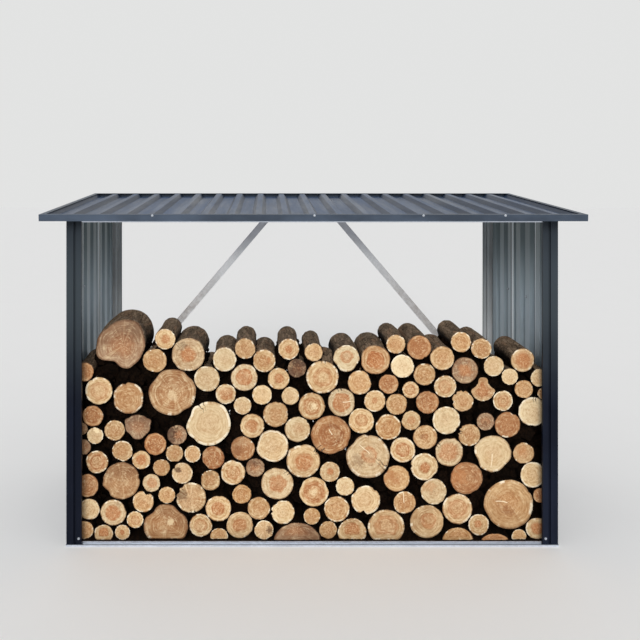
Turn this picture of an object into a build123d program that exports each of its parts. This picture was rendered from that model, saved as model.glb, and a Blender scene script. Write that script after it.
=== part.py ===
from build123d import *

import os
import random
from math import atan2, ceil, cos, degrees, radians, sin, sqrt

# Log store: four folded corner posts on a floor track, ribbed sheet side walls, an open front
# and back with two diagonal braces, a low mono-pitch ribbed roof, and the stack of round logs
# that it holds. Millimetres, +Z up, front towards -Y. The origin is on the ground, under the
# middle of the roof.

# Overall sizes
ROOF_WIDTH = 2450.0
ROOF_DEPTH = 980.0
OVERALL_HEIGHT = 1590.0
ROOF_PITCH = 3.9            # degrees, rising to the rear
FRONT_OVERHANG = 80.0       # from the roof's front edge back to the posts
REAR_OVERHANG = 44.0
SIDE_OVERHANG = 100.0

# Sheet and section thicknesses
SHEET = 0.6                 # ribbed roof and wall sheets
TRIM_GAUGE = 0.8            # roof trims
POST_GAUGE = 1.0
TRACK_GAUGE = 1.0
RAIL_GAUGE = 1.0            # headers and top rails
BRACE_GAUGE = 1.2

# Fits
FIT = 0.3                   # gap between pieces that lie on or beside each other
TRACK_PLAY = 1.0            # from a post's face to the outer lip of the floor track
LAP_STEP = 1.0              # how far a sheet stands off the sheet that it laps over

# Ribbed sheet, the same roll-formed profile on roof and walls
RIB_PITCH = 122.0
RIB_TOP = 28.0
RIB_BASE = 64.0
RIB_HEIGHT = 18.0
ROOF_SHEET_RIBS = 4         # from one lap of the roof to the next
WALL_SHEET_RIBS = 2         # from a wall's front edge to its first lap, and on to the second

# Folded corner post, seen in plan from its outer corner
POST_WIDTH = 69.0
POST_LEG = 45.0             # along the side wall
POST_OUTER_BAND = 33.0
POST_GROOVE = 12.0
POST_GROOVE_DEPTH = 10.0
POST_LIP = 15.0

# Floor track, headers and top rails
TRACK_OUTER_LIP = 10.0
TRACK_INNER_LIP = 12.0
HEADER_HEIGHT = 25.0
HEADER_DEPTH = 13.0
HEADER_SET_BACK = 2.0       # front header, behind the posts' front faces
TOP_RAIL_HEIGHT = 22.0
TOP_RAIL_WIDTH = 25.0

# Roof trims
TRIM_FLANGE = 25.0
TRIM_FACE = 30.0
TRIM_RETURN = 10.0

# Diagonal braces in the plane of the open back
BRACE_WIDTH = 38.0
BRACE_EDGE = 6.0            # depth of its folded edges
BRACE_HEAD_ACROSS = 114.0   # from the middle of the store to the brace's top end
BRACE_FOOT_UP = 430.0       # from the ground to the middle of the brace's foot
BRACE_FOOT_ON_POST = 16.0   # how far the foot reaches past the post's lip
BRACE_HEAD_UP = 14.0        # from the header's lower edge to the middle of the brace's head

# Log stack
LOG_LENGTH = 430.0
TOP_LOG_LENGTH = 250.0      # of the logs on top of the stack
TOP_LOGS_HEIGHT = 620.0     # height of a log's axis from which it counts as one of them
LOG_LENGTH_SPREAD = 12.0    # how much longer or shorter a log may be
LOG_SET_BACK = 46.0         # from the posts' front faces to the foremost log ends
LOG_END_SPREAD = 14.0       # how far back of that an end may lie
BARK_GROWTH = 1.045         # a log over its bark, against its sawn end
ROLL_STEP = 0.5             # a log rolls down into the nearest hollow in steps of this
ROLL_REACH = 20.0           # and no further than this
CONTACT_SLACK = 0.6         # over FIT, between two logs that count as touching
CORNER_STEP = 30.0          # degrees between the corners of a log's outline, at most
UNEVENNESS = 0.035          # how much of its radius a log may lack between its neighbours
STACK_SEED = 11

# The stack as it lies across the bay, all in thousandths of the bay's width. The ground course
# gives each log's place from the left wall, its diameter, and its height. One that is lower
# than it is wide was split, and lies on its flat.
GROUND_COURSE = (
    (20, 41, 41), (61, 43, 34), (102, 34, 34), (193, 96, 75), (305, 41, 25),
    (400, 43, 43), (470, 111, 38), (586, 62, 46), (658, 79, 66), (744, 74, 74),
    (808, 72, 28), (888, 91, 15), (926, 34, 23), (965, 49, 49),
)

# The courses above it give each log's place and its diameter under the bark
UPPER_COURSES = (
    ((347, 57), (264, 48), (534, 38), (862, 45), (128, 36), (492, 36), (76, 54), (815, 63),
     (449, 50)),
    ((397, 48), (30, 45), (154, 45), (310, 54), (706, 48), (563, 54), (243, 63), (362, 41),
     (504, 61)),
    ((624, 61), (919, 101), (985, 32), (196, 36), (751, 54), (93, 76), (437, 68), (25, 50)),
    ((154, 38), (278, 43), (580, 40), (327, 52), (535, 43), (381, 40), (818, 68), (689, 56),
     (237, 45), (175, 36)),
    ((971, 54), (132, 40), (57, 48), (487, 70), (295, 48), (747, 57), (206, 38), (19, 34),
     (874, 77), (351, 52)),
    ((628, 90), (243, 36), (102, 44), (416, 68), (165, 47), (798, 59), (700, 53), (950, 45),
     (35, 35)),
    ((208, 41), (545, 82), (743, 51), (837, 47), (367, 51), (905, 54), (15, 27), (77, 44),
     (472, 54), (291, 93), (131, 53)),
    ((668, 54), (968, 61), (792, 58), (418, 54), (610, 54), (868, 38), (714, 41), (39, 45)),
    ((501, 57), (215, 98), (364, 38), (561, 58), (682, 45), (914, 43), (988, 24), (635, 45),
     (311, 43)),
    ((957, 39), (448, 38), (754, 49), (810, 45), (863, 50), (123, 66), (405, 42), (710, 36),
     (46, 57)),
    ((597, 50), (660, 42), (979, 38), (928, 35), (362, 57), (281, 54), (783, 47), (530, 68),
     (440, 46), (179, 50), (737, 47), (894, 43)),
    ((830, 56), (20, 40), (698, 49), (632, 62), (403, 48), (938, 50), (240, 69), (780, 50),
     (466, 40)),
    ((318, 51), (574, 55), (868, 43), (108, 101), (514, 39), (184, 44), (363, 44), (683, 41),
     (734, 51), (461, 44), (825, 43)),
)

# Where the frame stands, worked out from the sizes above
FRONT = -ROOF_DEPTH / 2 + FRONT_OVERHANG
REAR = ROOF_DEPTH / 2 - REAR_OVERHANG
MIDDLE = (FRONT + REAR) / 2
SIDE = ROOF_WIDTH / 2 - SIDE_OVERHANG

TILT = radians(ROOF_PITCH)
SLOPE_LENGTH = (ROOF_DEPTH - TRIM_FACE * sin(TILT)) / cos(TILT)
EAVES_HEIGHT = OVERALL_HEIGHT - SLOPE_LENGTH * sin(TILT)

# Levels of the roof, square to its slope and down from the top of its trims
CREST_LEVEL = -TRIM_GAUGE - FIT
ROOF_UNDERSIDE = CREST_LEVEL - LAP_STEP - RIB_HEIGHT - SHEET
SEAT_LEVEL = ROOF_UNDERSIDE - FIT

# Levels of a side wall, out from the middle of the store
WALL_CREST = SIDE - POST_GAUGE - FIT
WALL_INSIDE = WALL_CREST - RIB_HEIGHT - SHEET - LAP_STEP

# Ribs at which a roof or wall sheet ends, by their number from the middle: as many as fit
# inside the roof trims, and between the skins of the front and rear posts
ROOF_REACH = ROOF_WIDTH / 2 - TRIM_GAUGE - FIT
ROOF_EDGE_RIB = int(ROOF_REACH / RIB_PITCH)
ROOF_LAPS = [*range(-ROOF_EDGE_RIB, ROOF_EDGE_RIB, ROOF_SHEET_RIBS), ROOF_EDGE_RIB]
WALL_REACH = (REAR - FRONT) / 2 - POST_GAUGE - FIT
WALL_EDGE_RIB = int((2 * WALL_REACH + RIB_TOP) / RIB_PITCH) / 2
WALL_LAPS = [-WALL_EDGE_RIB + WALL_SHEET_RIBS * index for index in range(3)] + [WALL_EDGE_RIB]

# The floor track holds a post's skin and a wall's full depth between its lips
TRACK_OUTSIDE = TRACK_PLAY + TRACK_GAUGE
TRACK_INSIDE = SIDE - WALL_INSIDE + FIT + TRACK_GAUGE
FLOOR_LEVEL = TRACK_GAUGE + FIT


def slope_plane(along, down=0.0):
    """Upright section across the roof, square to its slope, at a distance up from the eaves."""
    origin = (
        0,
        -ROOF_DEPTH / 2 + along * cos(TILT) - down * sin(TILT),
        EAVES_HEIGHT + along * sin(TILT) + down * cos(TILT),
    )
    return Plane(origin=origin, x_dir=(1, 0, 0), z_dir=(0, -cos(TILT), -sin(TILT)))


def side_plane(across):
    """Lengthways section through the roof: x runs up its slope, y square out of it."""
    origin = (across, -ROOF_DEPTH / 2, EAVES_HEIGHT)
    return Plane(origin=origin, x_dir=(0, cos(TILT), sin(TILT)), z_dir=(1, 0, 0))


def seat_plane():
    """The sloping plane that the roof sheets rest on, with its upper side facing up."""
    return Plane(
        origin=slope_plane(0, SEAT_LEVEL).origin,
        x_dir=(1, 0, 0),
        z_dir=(0, -sin(TILT), cos(TILT)),
    )


def along_slope(depth, down=0.0):
    """Distance up the slope of the point that lies at a depth in plan."""
    return (depth + ROOF_DEPTH / 2 + down * sin(TILT)) / cos(TILT)


def rib_points(first, last, low_ends, reach):
    """Outline of a ribbed sheet from one rib to another, each given by its number from the
    middle. The sheet ends at the foot of a lapped rib, or on the crest of an edge rib, no
    further out than its reach."""
    points = []
    count = int(last - first)
    for index in range(count + 1):
        middle = (first + index) * RIB_PITCH
        if index > 0 or low_ends[0]:
            points += [(middle - RIB_BASE / 2, -RIB_HEIGHT), (middle - RIB_TOP / 2, 0)]
        else:
            points += [(-reach, 0)]
        if index < count or low_ends[1]:
            points += [(middle + RIB_TOP / 2, 0), (middle + RIB_BASE / 2, -RIB_HEIGHT)]
        else:
            points += [(reach, 0)]
    return points


def bent_sheet(plane, points, gauge, side):
    """Section of a bent sheet of even thickness, on one side of the line of its outer face."""
    with BuildSketch(plane) as section:
        with BuildLine():
            line = Polyline(*points)
            offset(line, amount=gauge, side=side, closed=True, kind=Kind.INTERSECTION)
        make_face()
    return section.sketch


def save(piece, name):
    """Labels a finished piece and writes it to its own file."""
    piece.part.label = name
    export_step(piece.part, f"parts/{name}.step")
    print(name, len(piece.part.solids()), "solids", round(piece.part.volume / 1000.0, 1), "cm3")


# Floor track: a channel with a low outer and a slightly higher inner lip, mitred at the corners

def track_section(outer, inwards):
    """Section of the track: outer is the face of the posts, inwards the way to the inside."""
    low = outer - inwards * TRACK_OUTSIDE
    high = outer + inwards * TRACK_INSIDE
    return [(low, TRACK_OUTER_LIP), (low, 0), (high, 0), (high, TRACK_INNER_LIP)]


def make_track():
    """Four rails of one section, cut at 45 degrees where they meet."""
    reach = ROOF_WIDTH
    for name, face, inwards in (("floor_rail_front", FRONT, 1), ("floor_rail_rear", REAR, -1)):
        side = Side.LEFT if inwards > 0 else Side.RIGHT
        section = bent_sheet(
            Plane.YZ.offset(-reach), track_section(face, inwards), TRACK_GAUGE, side
        )
        with BuildPart() as rail:
            extrude(section, amount=2 * reach)
            for hand in (-1, 1):
                corner = (hand * (SIDE - FIT / 2), face, 0)
                split(bisect_by=Plane(origin=corner, z_dir=(-hand, -inwards, 0)))
        save(rail, name)
    for name, hand in (("floor_rail_left", -1), ("floor_rail_right", 1)):
        side = Side.LEFT if hand < 0 else Side.RIGHT
        section = bent_sheet(
            Plane.XZ.offset(-reach), track_section(hand * SIDE, -hand), TRACK_GAUGE, side
        )
        with BuildPart() as rail:
            extrude(section, amount=2 * reach)
            for face, inwards in ((FRONT, 1), (REAR, -1)):
                corner = (hand * SIDE, face + inwards * FIT / 2, 0)
                split(bisect_by=Plane(origin=corner, z_dir=(hand, inwards, 0)))
        save(rail, name)


# Corner posts: a grooved face, a return lip on its inner edge and a leg along the side wall

def post_points(hand, face, inwards):
    """Plan of a post, from the free end of its side leg round to the end of its lip."""
    steps = (
        (0, POST_LEG), (0, 0), (POST_OUTER_BAND, 0), (POST_OUTER_BAND, POST_GROOVE_DEPTH),
        (POST_OUTER_BAND + POST_GROOVE, POST_GROOVE_DEPTH), (POST_OUTER_BAND + POST_GROOVE, 0),
        (POST_WIDTH, 0), (POST_WIDTH, POST_LIP),
    )
    return [(hand * (SIDE - across), face + inwards * deep) for across, deep in steps]


def make_posts():
    """Four posts that stand in the track and reach up to the roof sheets."""
    corners = (
        ("post_front_left", -1, FRONT, 1), ("post_front_right", 1, FRONT, 1),
        ("post_rear_left", -1, REAR, -1), ("post_rear_right", 1, REAR, -1),
    )
    for name, hand, face, inwards in corners:
        side = Side.LEFT if hand * inwards < 0 else Side.RIGHT
        section = bent_sheet(
            Plane.XY.offset(FLOOR_LEVEL), post_points(hand, face, inwards), POST_GAUGE, side
        )
        with BuildPart() as post:
            extrude(section, amount=OVERALL_HEIGHT)
            split(bisect_by=seat_plane(), keep=Keep.BOTTOM)
        save(post, name)


# Headers and top rails: the light sections under the roof that tie the posts together

def make_headers():
    """A channel between the lips of each pair of posts, web to the front."""
    half = SIDE - POST_WIDTH - FIT
    webs = (("header_front", FRONT + HEADER_SET_BACK), ("header_rear", REAR - POST_LIP))
    for name, web in webs:
        start = along_slope(web, SEAT_LEVEL)
        points = [
            (start + HEADER_DEPTH, SEAT_LEVEL), (start, SEAT_LEVEL),
            (start, SEAT_LEVEL - HEADER_HEIGHT),
            (start + HEADER_DEPTH, SEAT_LEVEL - HEADER_HEIGHT),
        ]
        section = bent_sheet(side_plane(-half), points, RAIL_GAUGE, Side.LEFT)
        with BuildPart() as header:
            extrude(section, amount=2 * half)
        save(header, name)


def make_top_rails():
    """An angle along the top of each side wall, sloping with the roof."""
    first = along_slope(FRONT + POST_LIP + FIT + HEADER_SET_BACK, SEAT_LEVEL)
    last = along_slope(REAR - POST_LIP - FIT - HEADER_SET_BACK, SEAT_LEVEL)
    for name, hand in (("top_rail_left", -1), ("top_rail_right", 1)):
        outer = hand * (WALL_INSIDE - FIT)
        points = [
            (outer - hand * TOP_RAIL_WIDTH, SEAT_LEVEL), (outer, SEAT_LEVEL),
            (outer, SEAT_LEVEL - TOP_RAIL_HEIGHT),
        ]
        side = Side.LEFT if hand < 0 else Side.RIGHT
        section = bent_sheet(slope_plane(last), points, RAIL_GAUGE, side)
        with BuildPart() as rail:
            extrude(section, amount=last - first)
        save(rail, name)


# Side walls: three ribbed sheets each, ribs outwards, the middle sheet lapped inside

def make_walls():
    """The sheets of both side walls, from the track up to the roof."""
    names = ("front", "middle", "rear")
    for hand, word in ((-1, "left"), (1, "right")):
        side = Side.LEFT if hand > 0 else Side.RIGHT
        for index, name in enumerate(names):
            crest = WALL_CREST - (LAP_STEP if name == "middle" else 0.0)
            low_ends = (index > 0, index < len(names) - 1)
            points = rib_points(WALL_LAPS[index], WALL_LAPS[index + 1], low_ends, WALL_REACH)
            plan = [(hand * (crest + out), MIDDLE + along) for along, out in points]
            section = bent_sheet(Plane.XY.offset(FLOOR_LEVEL), plan, SHEET, side)
            with BuildPart() as sheet:
                extrude(section, amount=OVERALL_HEIGHT)
                split(bisect_by=seat_plane(), keep=Keep.BOTTOM)
            save(sheet, f"wall_{word}_{name}_sheet")


# Roof: five ribbed sheets, every other one lapped over its neighbours

def make_roof_sheets():
    """The roof sheets, from just inside the fascia to just inside the rear trim."""
    first = TRIM_GAUGE + FIT
    last = SLOPE_LENGTH - TRIM_GAUGE - FIT
    count = len(ROOF_LAPS) - 1
    for index in range(count):
        level = CREST_LEVEL - (0.0 if index % 2 else LAP_STEP)
        low_ends = (index > 0, index < count - 1)
        points = rib_points(ROOF_LAPS[index], ROOF_LAPS[index + 1], low_ends, ROOF_REACH)
        section = bent_sheet(slope_plane(last, level), points, SHEET, Side.RIGHT)
        with BuildPart() as sheet:
            extrude(section, amount=last - first)
        save(sheet, f"roof_sheet_{index + 1}")


# Roof trims: folded angles with a return lip, over the ribs along all four edges

def make_front_and_rear_trims():
    """The fascia along the front and the matching trim along the rear, both over full width."""
    half = ROOF_WIDTH / 2
    outline = [(TRIM_FLANGE, 0), (0, 0), (0, -TRIM_FACE), (TRIM_RETURN, -TRIM_FACE)]
    mirrored = [(SLOPE_LENGTH - along, level) for along, level in outline]
    trims = (("fascia_front", outline, Side.LEFT), ("trim_rear", mirrored, Side.RIGHT))
    for name, points, side in trims:
        section = bent_sheet(side_plane(-half), points, TRIM_GAUGE, side)
        with BuildPart() as trim:
            extrude(section, amount=2 * half)
        save(trim, name)


def make_side_trims():
    """The trims along the sloping sides, whose flanges stop short of the other two."""
    first = TRIM_GAUGE + FIT
    last = SLOPE_LENGTH - TRIM_GAUGE - FIT
    face = TRIM_FACE - TRIM_GAUGE - FIT
    notch = TRIM_FLANGE + FIT
    with BuildSketch(side_plane(-ROOF_WIDTH / 2)) as notches:
        with Locations((notch / 2, 0), (SLOPE_LENGTH - notch / 2, 0)):
            Rectangle(notch, 2 * CREST_LEVEL)
    for name, hand in (("trim_left", -1), ("trim_right", 1)):
        edge = hand * ROOF_WIDTH / 2
        points = [(edge - hand * TRIM_FLANGE, 0), (edge, 0), (edge, -face)]
        side = Side.LEFT if hand < 0 else Side.RIGHT
        section = bent_sheet(slope_plane(last), points, TRIM_GAUGE, side)
        with BuildPart() as trim:
            extrude(section, amount=last - first)
            extrude(notches.sketch, amount=ROOF_WIDTH, mode=Mode.SUBTRACT)
        save(trim, name)


# Braces: a flat strip with folded edges, from the rear header down to each rear post

def make_braces():
    """Both braces lie against the header's web and the posts' lips, inside the open back."""
    seat = REAR - POST_LIP - FIT
    header_foot = slope_plane(along_slope(REAR - POST_LIP), SEAT_LEVEL - HEADER_HEIGHT)
    head_up = header_foot.origin.Z + BRACE_HEAD_UP
    foot_across = SIDE - POST_WIDTH + BRACE_FOOT_ON_POST
    run = foot_across - BRACE_HEAD_ACROSS
    rise = head_up - BRACE_FOOT_UP
    half = BRACE_WIDTH / 2
    outline = ((BRACE_EDGE, -half), (0, -half), (0, half), (BRACE_EDGE, half))
    for name, hand in (("brace_left", -1), ("brace_right", 1)):
        foot = (hand * foot_across, seat, BRACE_FOOT_UP)
        plane = Plane(origin=foot, x_dir=(0, -1, 0), z_dir=(-hand * run, 0, rise))
        section = bent_sheet(plane, outline, BRACE_GAUGE, Side.RIGHT)
        with BuildPart() as brace:
            extrude(section, amount=sqrt(run**2 + rise**2))
        save(brace, name)


# Log stack: each log is let down at its place and rolls into the nearest hollow

def rest_height(across, radius, pile):
    """Height of a log's axis if it lies on the ground or on the pile at this place."""
    height = radius
    for other_across, other_height, other_radius in pile:
        reach = radius + other_radius + FIT
        aside = abs(across - other_across)
        if aside < reach:
            height = max(height, other_height + sqrt(reach**2 - aside**2))
    return height


def roll_to_rest(across, radius, pile):
    """Place and height of a log that has rolled down from the place where it was let down."""
    limit = WALL_INSIDE - FIT - radius
    start = max(-limit, min(limit, across))
    across = start
    height = rest_height(across, radius, pile)
    for way in (-ROLL_STEP, ROLL_STEP):
        while abs(across + way - start) <= ROLL_REACH and abs(across + way) <= limit:
            lower = rest_height(across + way, radius, pile)
            if lower >= height:
                break
            across += way
            height = lower
    return across, height


def in_bay(share):
    """A length from thousandths of the bay's width."""
    return share / 1000.0 * 2 * WALL_INSIDE


def spacing(one, other):
    """The least distance across the bay between two logs that lie at their own heights."""
    reach = one[2] + other[2] + FIT
    drop = one[1] - other[1]
    return sqrt(max(0.0, reach**2 - drop**2))


def lay_ground_course():
    """Logs side by side on the ground, each as [across, height of its axis, radius]."""
    course = []
    for share, diameter, top in GROUND_COURSE:
        radius = in_bay(diameter) / 2
        limit = WALL_INSIDE - FIT - radius
        across = max(-limit, min(limit, in_bay(share) - WALL_INSIDE))
        course.append([across, in_bay(top) - radius, radius])
    neighbours = list(zip(course, course[1:]))
    for before, after in neighbours:
        after[0] = max(after[0], before[0] + spacing(before, after))
    course[-1][0] = min(course[-1][0], WALL_INSIDE - FIT - course[-1][2])
    for before, after in reversed(neighbours):
        before[0] = min(before[0], after[0] - spacing(before, after))
    return course


def lay_courses():
    """Every course of the stack from the ground up, its logs as (across, height, radius)."""
    courses = [lay_ground_course()]
    pile = list(courses[0])
    for course in UPPER_COURSES:
        laid = []
        for share, diameter in course:
            radius = in_bay(diameter) * BARK_GROWTH / 2
            across, height = roll_to_rest(in_bay(share) - WALL_INSIDE, radius, pile)
            laid.append((across, height, radius))
            pile.append(laid[-1])
        courses.append(laid)
    return courses


def touching_angles(log, pile):
    """The directions in which a log touches others, a wall or the ground, in degrees."""
    across, height, radius = log
    near = FIT + CONTACT_SLACK
    angles = []
    for other_across, other_height, other_radius in pile:
        aside = other_across - across
        up = other_height - height
        if 0 < sqrt(aside**2 + up**2) <= radius + other_radius + near:
            angles.append(degrees(atan2(up, aside)) % 360)
    if WALL_INSIDE - across - radius <= near:
        angles.append(0.0)
    if WALL_INSIDE + across - radius <= near:
        angles.append(180.0)
    if height - radius <= near:
        angles.append(270.0)
    return sorted(set(round(angle, 1) for angle in angles))


def log_outline(log, pile, draws):
    """Corners of a log's end: on its full round wherever it touches something, and a little
    inside of it in between, as no log is quite round."""
    across, height, radius = log
    angles = touching_angles(log, pile)
    corners = []
    for angle, following in zip(angles, angles[1:] + [angles[0] + 360]):
        count = ceil((following - angle) / CORNER_STEP)
        for step in range(count):
            lack = draws.uniform(0, UNEVENNESS) if step else 0
            turn = radians(angle + (following - angle) * step / count)
            reach = radius * (1 - lack)
            corners.append((across + reach * cos(turn), height + reach * sin(turn)))
    return corners


def make_logs():
    """The whole stack, a piece a course, the split logs of the first on their flats."""
    draws = random.Random(STACK_SEED)
    courses = lay_courses()
    pile = [log for course in courses for log in course]
    for index, course in enumerate(courses):
        with BuildPart() as logs:
            for log in course:
                front = FRONT + LOG_SET_BACK + draws.uniform(0, LOG_END_SPREAD)
                length = LOG_LENGTH if log[1] < TOP_LOGS_HEIGHT else TOP_LOG_LENGTH
                length += draws.uniform(-LOG_LENGTH_SPREAD, LOG_LENGTH_SPREAD)
                corners = log_outline(log, pile, draws)
                with BuildSketch(Plane.XZ.offset(-front)):
                    with BuildLine():
                        Polyline(*corners, close=True)
                    make_face()
                extrude(amount=-length)
            if index == 0:
                split(bisect_by=Plane.XY)
        save(logs, f"log_course_{index + 1:02d}")


os.makedirs("parts", exist_ok=True)
make_track()
make_posts()
make_headers()
make_top_rails()
make_walls()
make_roof_sheets()
make_front_and_rear_trims()
make_side_trims()
make_braces()
make_logs()
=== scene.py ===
import math
import random

import bmesh
import bpy
from bpy.props import FloatProperty, FloatVectorProperty, IntProperty, PointerProperty
from mathutils import Matrix, Vector


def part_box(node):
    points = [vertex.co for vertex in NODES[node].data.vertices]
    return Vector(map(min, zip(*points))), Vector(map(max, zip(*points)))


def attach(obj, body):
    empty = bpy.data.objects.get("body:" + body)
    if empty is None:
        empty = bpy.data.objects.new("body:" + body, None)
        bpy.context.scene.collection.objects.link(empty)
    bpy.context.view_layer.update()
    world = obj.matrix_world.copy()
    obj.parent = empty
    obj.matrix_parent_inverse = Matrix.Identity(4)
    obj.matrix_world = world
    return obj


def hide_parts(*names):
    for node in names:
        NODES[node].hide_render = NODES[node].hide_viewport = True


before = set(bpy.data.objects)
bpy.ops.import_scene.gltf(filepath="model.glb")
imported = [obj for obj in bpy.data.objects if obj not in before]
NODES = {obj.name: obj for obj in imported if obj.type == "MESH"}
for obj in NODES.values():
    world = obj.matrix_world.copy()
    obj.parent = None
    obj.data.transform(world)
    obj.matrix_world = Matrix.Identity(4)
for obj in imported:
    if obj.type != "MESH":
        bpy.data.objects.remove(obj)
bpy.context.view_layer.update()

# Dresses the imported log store: coated and galvanised sheet steel, screws and washers, and a
# stack of round logs with bark, growth rings and cracks. Metres, front towards -Y.

bl_info = {
    "name": "Log store",
    "version": (1, 0, 0),
    "blender": (4, 5, 0),
    "location": "View3D > Sidebar > Log store",
    "description": "Finishes and logs for a ribbed steel log store",
    "category": "Object",
}

TAU = 2 * math.pi
WHITE = (1.0, 1.0, 1.0)


def from_screen(red, green, blue):
    """A linear colour from the eight-bit numbers that a screen shows."""
    linear = []
    for level in (red, green, blue):
        share = level / 255
        linear.append(share / 12.92 if share <= 0.04045 else ((share + 0.055) / 1.055) ** 2.4)
    return tuple(linear)


def shaded(colour, share):
    """A colour that is darker, or brighter as far as white allows."""
    return tuple(min(1.0, level * share) for level in colour)


def blend(first, second, share):
    """A colour between two others, or a little past the second."""
    return tuple(min(1.0, max(0.0, a + (b - a) * share)) for a, b in zip(first, second))


# Shader sheets: a socket that takes part in plain sums, and a material that adds nodes

class Wire:
    """An output socket of a material's nodes that plain arithmetic works on."""

    def __init__(self, sheet, socket):
        self.sheet = sheet
        self.socket = socket

    def sum(self, operation, first, second=0.0):
        """One Math node on numbers or sockets."""
        return self.sheet.add("ShaderNodeMath", {"operation": operation}, {0: first, 1: second})

    def __add__(self, other):
        return self.sum("ADD", self, other)

    def __radd__(self, other):
        return self.sum("ADD", other, self)

    def __sub__(self, other):
        return self.sum("SUBTRACT", self, other)

    def __rsub__(self, other):
        return self.sum("SUBTRACT", other, self)

    def __mul__(self, other):
        return self.sum("MULTIPLY", self, other)

    def __rmul__(self, other):
        return self.sum("MULTIPLY", other, self)

    def __truediv__(self, other):
        return self.sum("DIVIDE", self, other)

    def __rtruediv__(self, other):
        return self.sum("DIVIDE", other, self)

    def __pow__(self, other):
        return self.sum("POWER", self, other)

    def __abs__(self):
        return self.sum("ABSOLUTE", self)

    def __gt__(self, other):
        return self.sum("GREATER_THAN", self, other)

    def __lt__(self, other):
        return self.sum("LESS_THAN", self, other)


class Sheet:
    """The nodes of a material or a world, with the few ways in which this object adds to them."""

    def __init__(self, name, world=False):
        self.owner = (bpy.data.worlds if world else bpy.data.materials).new(name)
        self.owner.use_nodes = True
        self.tree = self.owner.node_tree
        self.tree.nodes.clear()

    def add(self, kind, settings=None, sockets=None, output=0):
        """Any node: its settings first, then the values or links of its sockets."""
        node = self.tree.nodes.new(kind)
        for key, value in (settings or {}).items():
            setattr(node, key, value)
        for key, value in (sockets or {}).items():
            socket = node.inputs[key]
            if isinstance(value, Wire):
                self.tree.links.new(value.socket, socket)
            elif socket.type == "RGBA":
                socket.default_value = (*value, 1)
            else:
                socket.default_value = value
        return Wire(self, node.outputs[output])

    def place(self):
        """Where a point is on the whole store, in metres."""
        return self.add("ShaderNodeTexCoord", output="Object")

    def normal(self):
        """Which way a face looks, without its bumps."""
        return self.add("ShaderNodeNewGeometry", output="True Normal")

    def vectors(self, operation, *values, output=0):
        """Vectors through a Vector Math node."""
        settings = {"operation": operation}
        return self.add("ShaderNodeVectorMath", settings, dict(enumerate(values)), output)

    def stretch(self, place, x, y, z):
        """A place with each of its directions scaled on its own."""
        return self.vectors("MULTIPLY", place, (x, y, z))

    def noise(self, place, scale, detail=3.0, roughness=0.5, output="Fac"):
        """Clouds between 0 and 1, or three of them at once in the output Color."""
        sockets = {"Vector": place, "Scale": scale, "Detail": detail, "Roughness": roughness}
        return self.add("ShaderNodeTexNoise", {}, sockets, output)

    def span(self, value, low, high, to_low=0.0, to_high=1.0):
        """A value spread from one range to another, held within it."""
        sockets = {"Value": value, "From Min": low, "From Max": high, "To Min": to_low,
                   "To Max": to_high}
        return self.add("ShaderNodeMapRange", {"interpolation_type": "SMOOTHSTEP"}, sockets)

    def mix(self, share, first, second, kind="MIX"):
        """Two colours mixed, or blended in one of the other ways."""
        settings = {"data_type": "RGBA", "blend_type": kind}
        return self.add("ShaderNodeMix", settings, {0: share, 6: first, 7: second}, output=2)

    def darker(self, share, shade, base):
        """A colour that is multiplied by a shade, as far as a share says."""
        return self.mix(share, base, self.mix(1.0, base, shade, "MULTIPLY"))

    def parts(self, vector):
        """The three numbers of a vector."""
        node = self.add("ShaderNodeSeparateXYZ", {}, {0: vector}).socket.node
        return [Wire(self, socket) for socket in node.outputs]

    def kept(self, name, output="Fac"):
        """A value or colour kept on the mesh under a name."""
        return self.add("ShaderNodeAttribute", {"attribute_name": name}, output=output)

    def bump(self, height, distance, strength):
        """A normal that a height makes uneven."""
        sockets = {"Height": height, "Distance": distance, "Strength": strength}
        return self.add("ShaderNodeBump", {}, sockets)

    def finish(self, **sockets):
        """Closes the material with its shader, whose sockets are named as Base_Color."""
        spaced = {key.replace("_", " "): value for key, value in sockets.items()}
        shader = self.add("ShaderNodeBsdfPrincipled", {}, spaced)
        return self.close("ShaderNodeOutputMaterial", shader)

    def close(self, kind, shader):
        """Links a shader to the output, and gives the finished material or world."""
        output = self.tree.nodes.new(kind)
        self.tree.links.new(shader.socket, output.inputs["Surface"])
        return self.owner


# Sizes and colours that a user would change

def swatch(name, description, red, green, blue):
    """A colour property, with its default as a screen shows it."""
    return FloatVectorProperty(
        name=name, description=description, subtype="COLOR",
        default=from_screen(red, green, blue), min=0, max=1)


class SteelLooks(bpy.types.PropertyGroup):
    # The roof's blue is partly painted sky reflection on an anthracite coating
    roof_colour: swatch("Roof", "Coating of the roof sheets", 53, 69, 94)
    trim_colour: swatch("Trims", "Coating of the fascia and the other roof trims", 58, 68, 82)
    post_colour: swatch("Posts", "Coating of the corner posts", 18, 23, 36)
    wall_colour: swatch("Walls outside", "Coating of the wall sheets' outer side", 60, 69, 84)
    lining_colour: swatch("Walls inside", "Thin coat on the inner side of the sheets", 172, 187, 197)
    zinc_colour: swatch("Galvanised steel", "Track, headers, top rails and braces", 214, 220, 232)
    spangle: FloatProperty(
        name="Spangle", description="Size of a crystal in the zinc", default=0.009,
        min=0.002, max=0.05, unit="LENGTH")
    screw_head: FloatProperty(
        name="Screw head", description="Across the flats of a screw's head", default=0.0065,
        min=0.004, max=0.012, unit="LENGTH")


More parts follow.
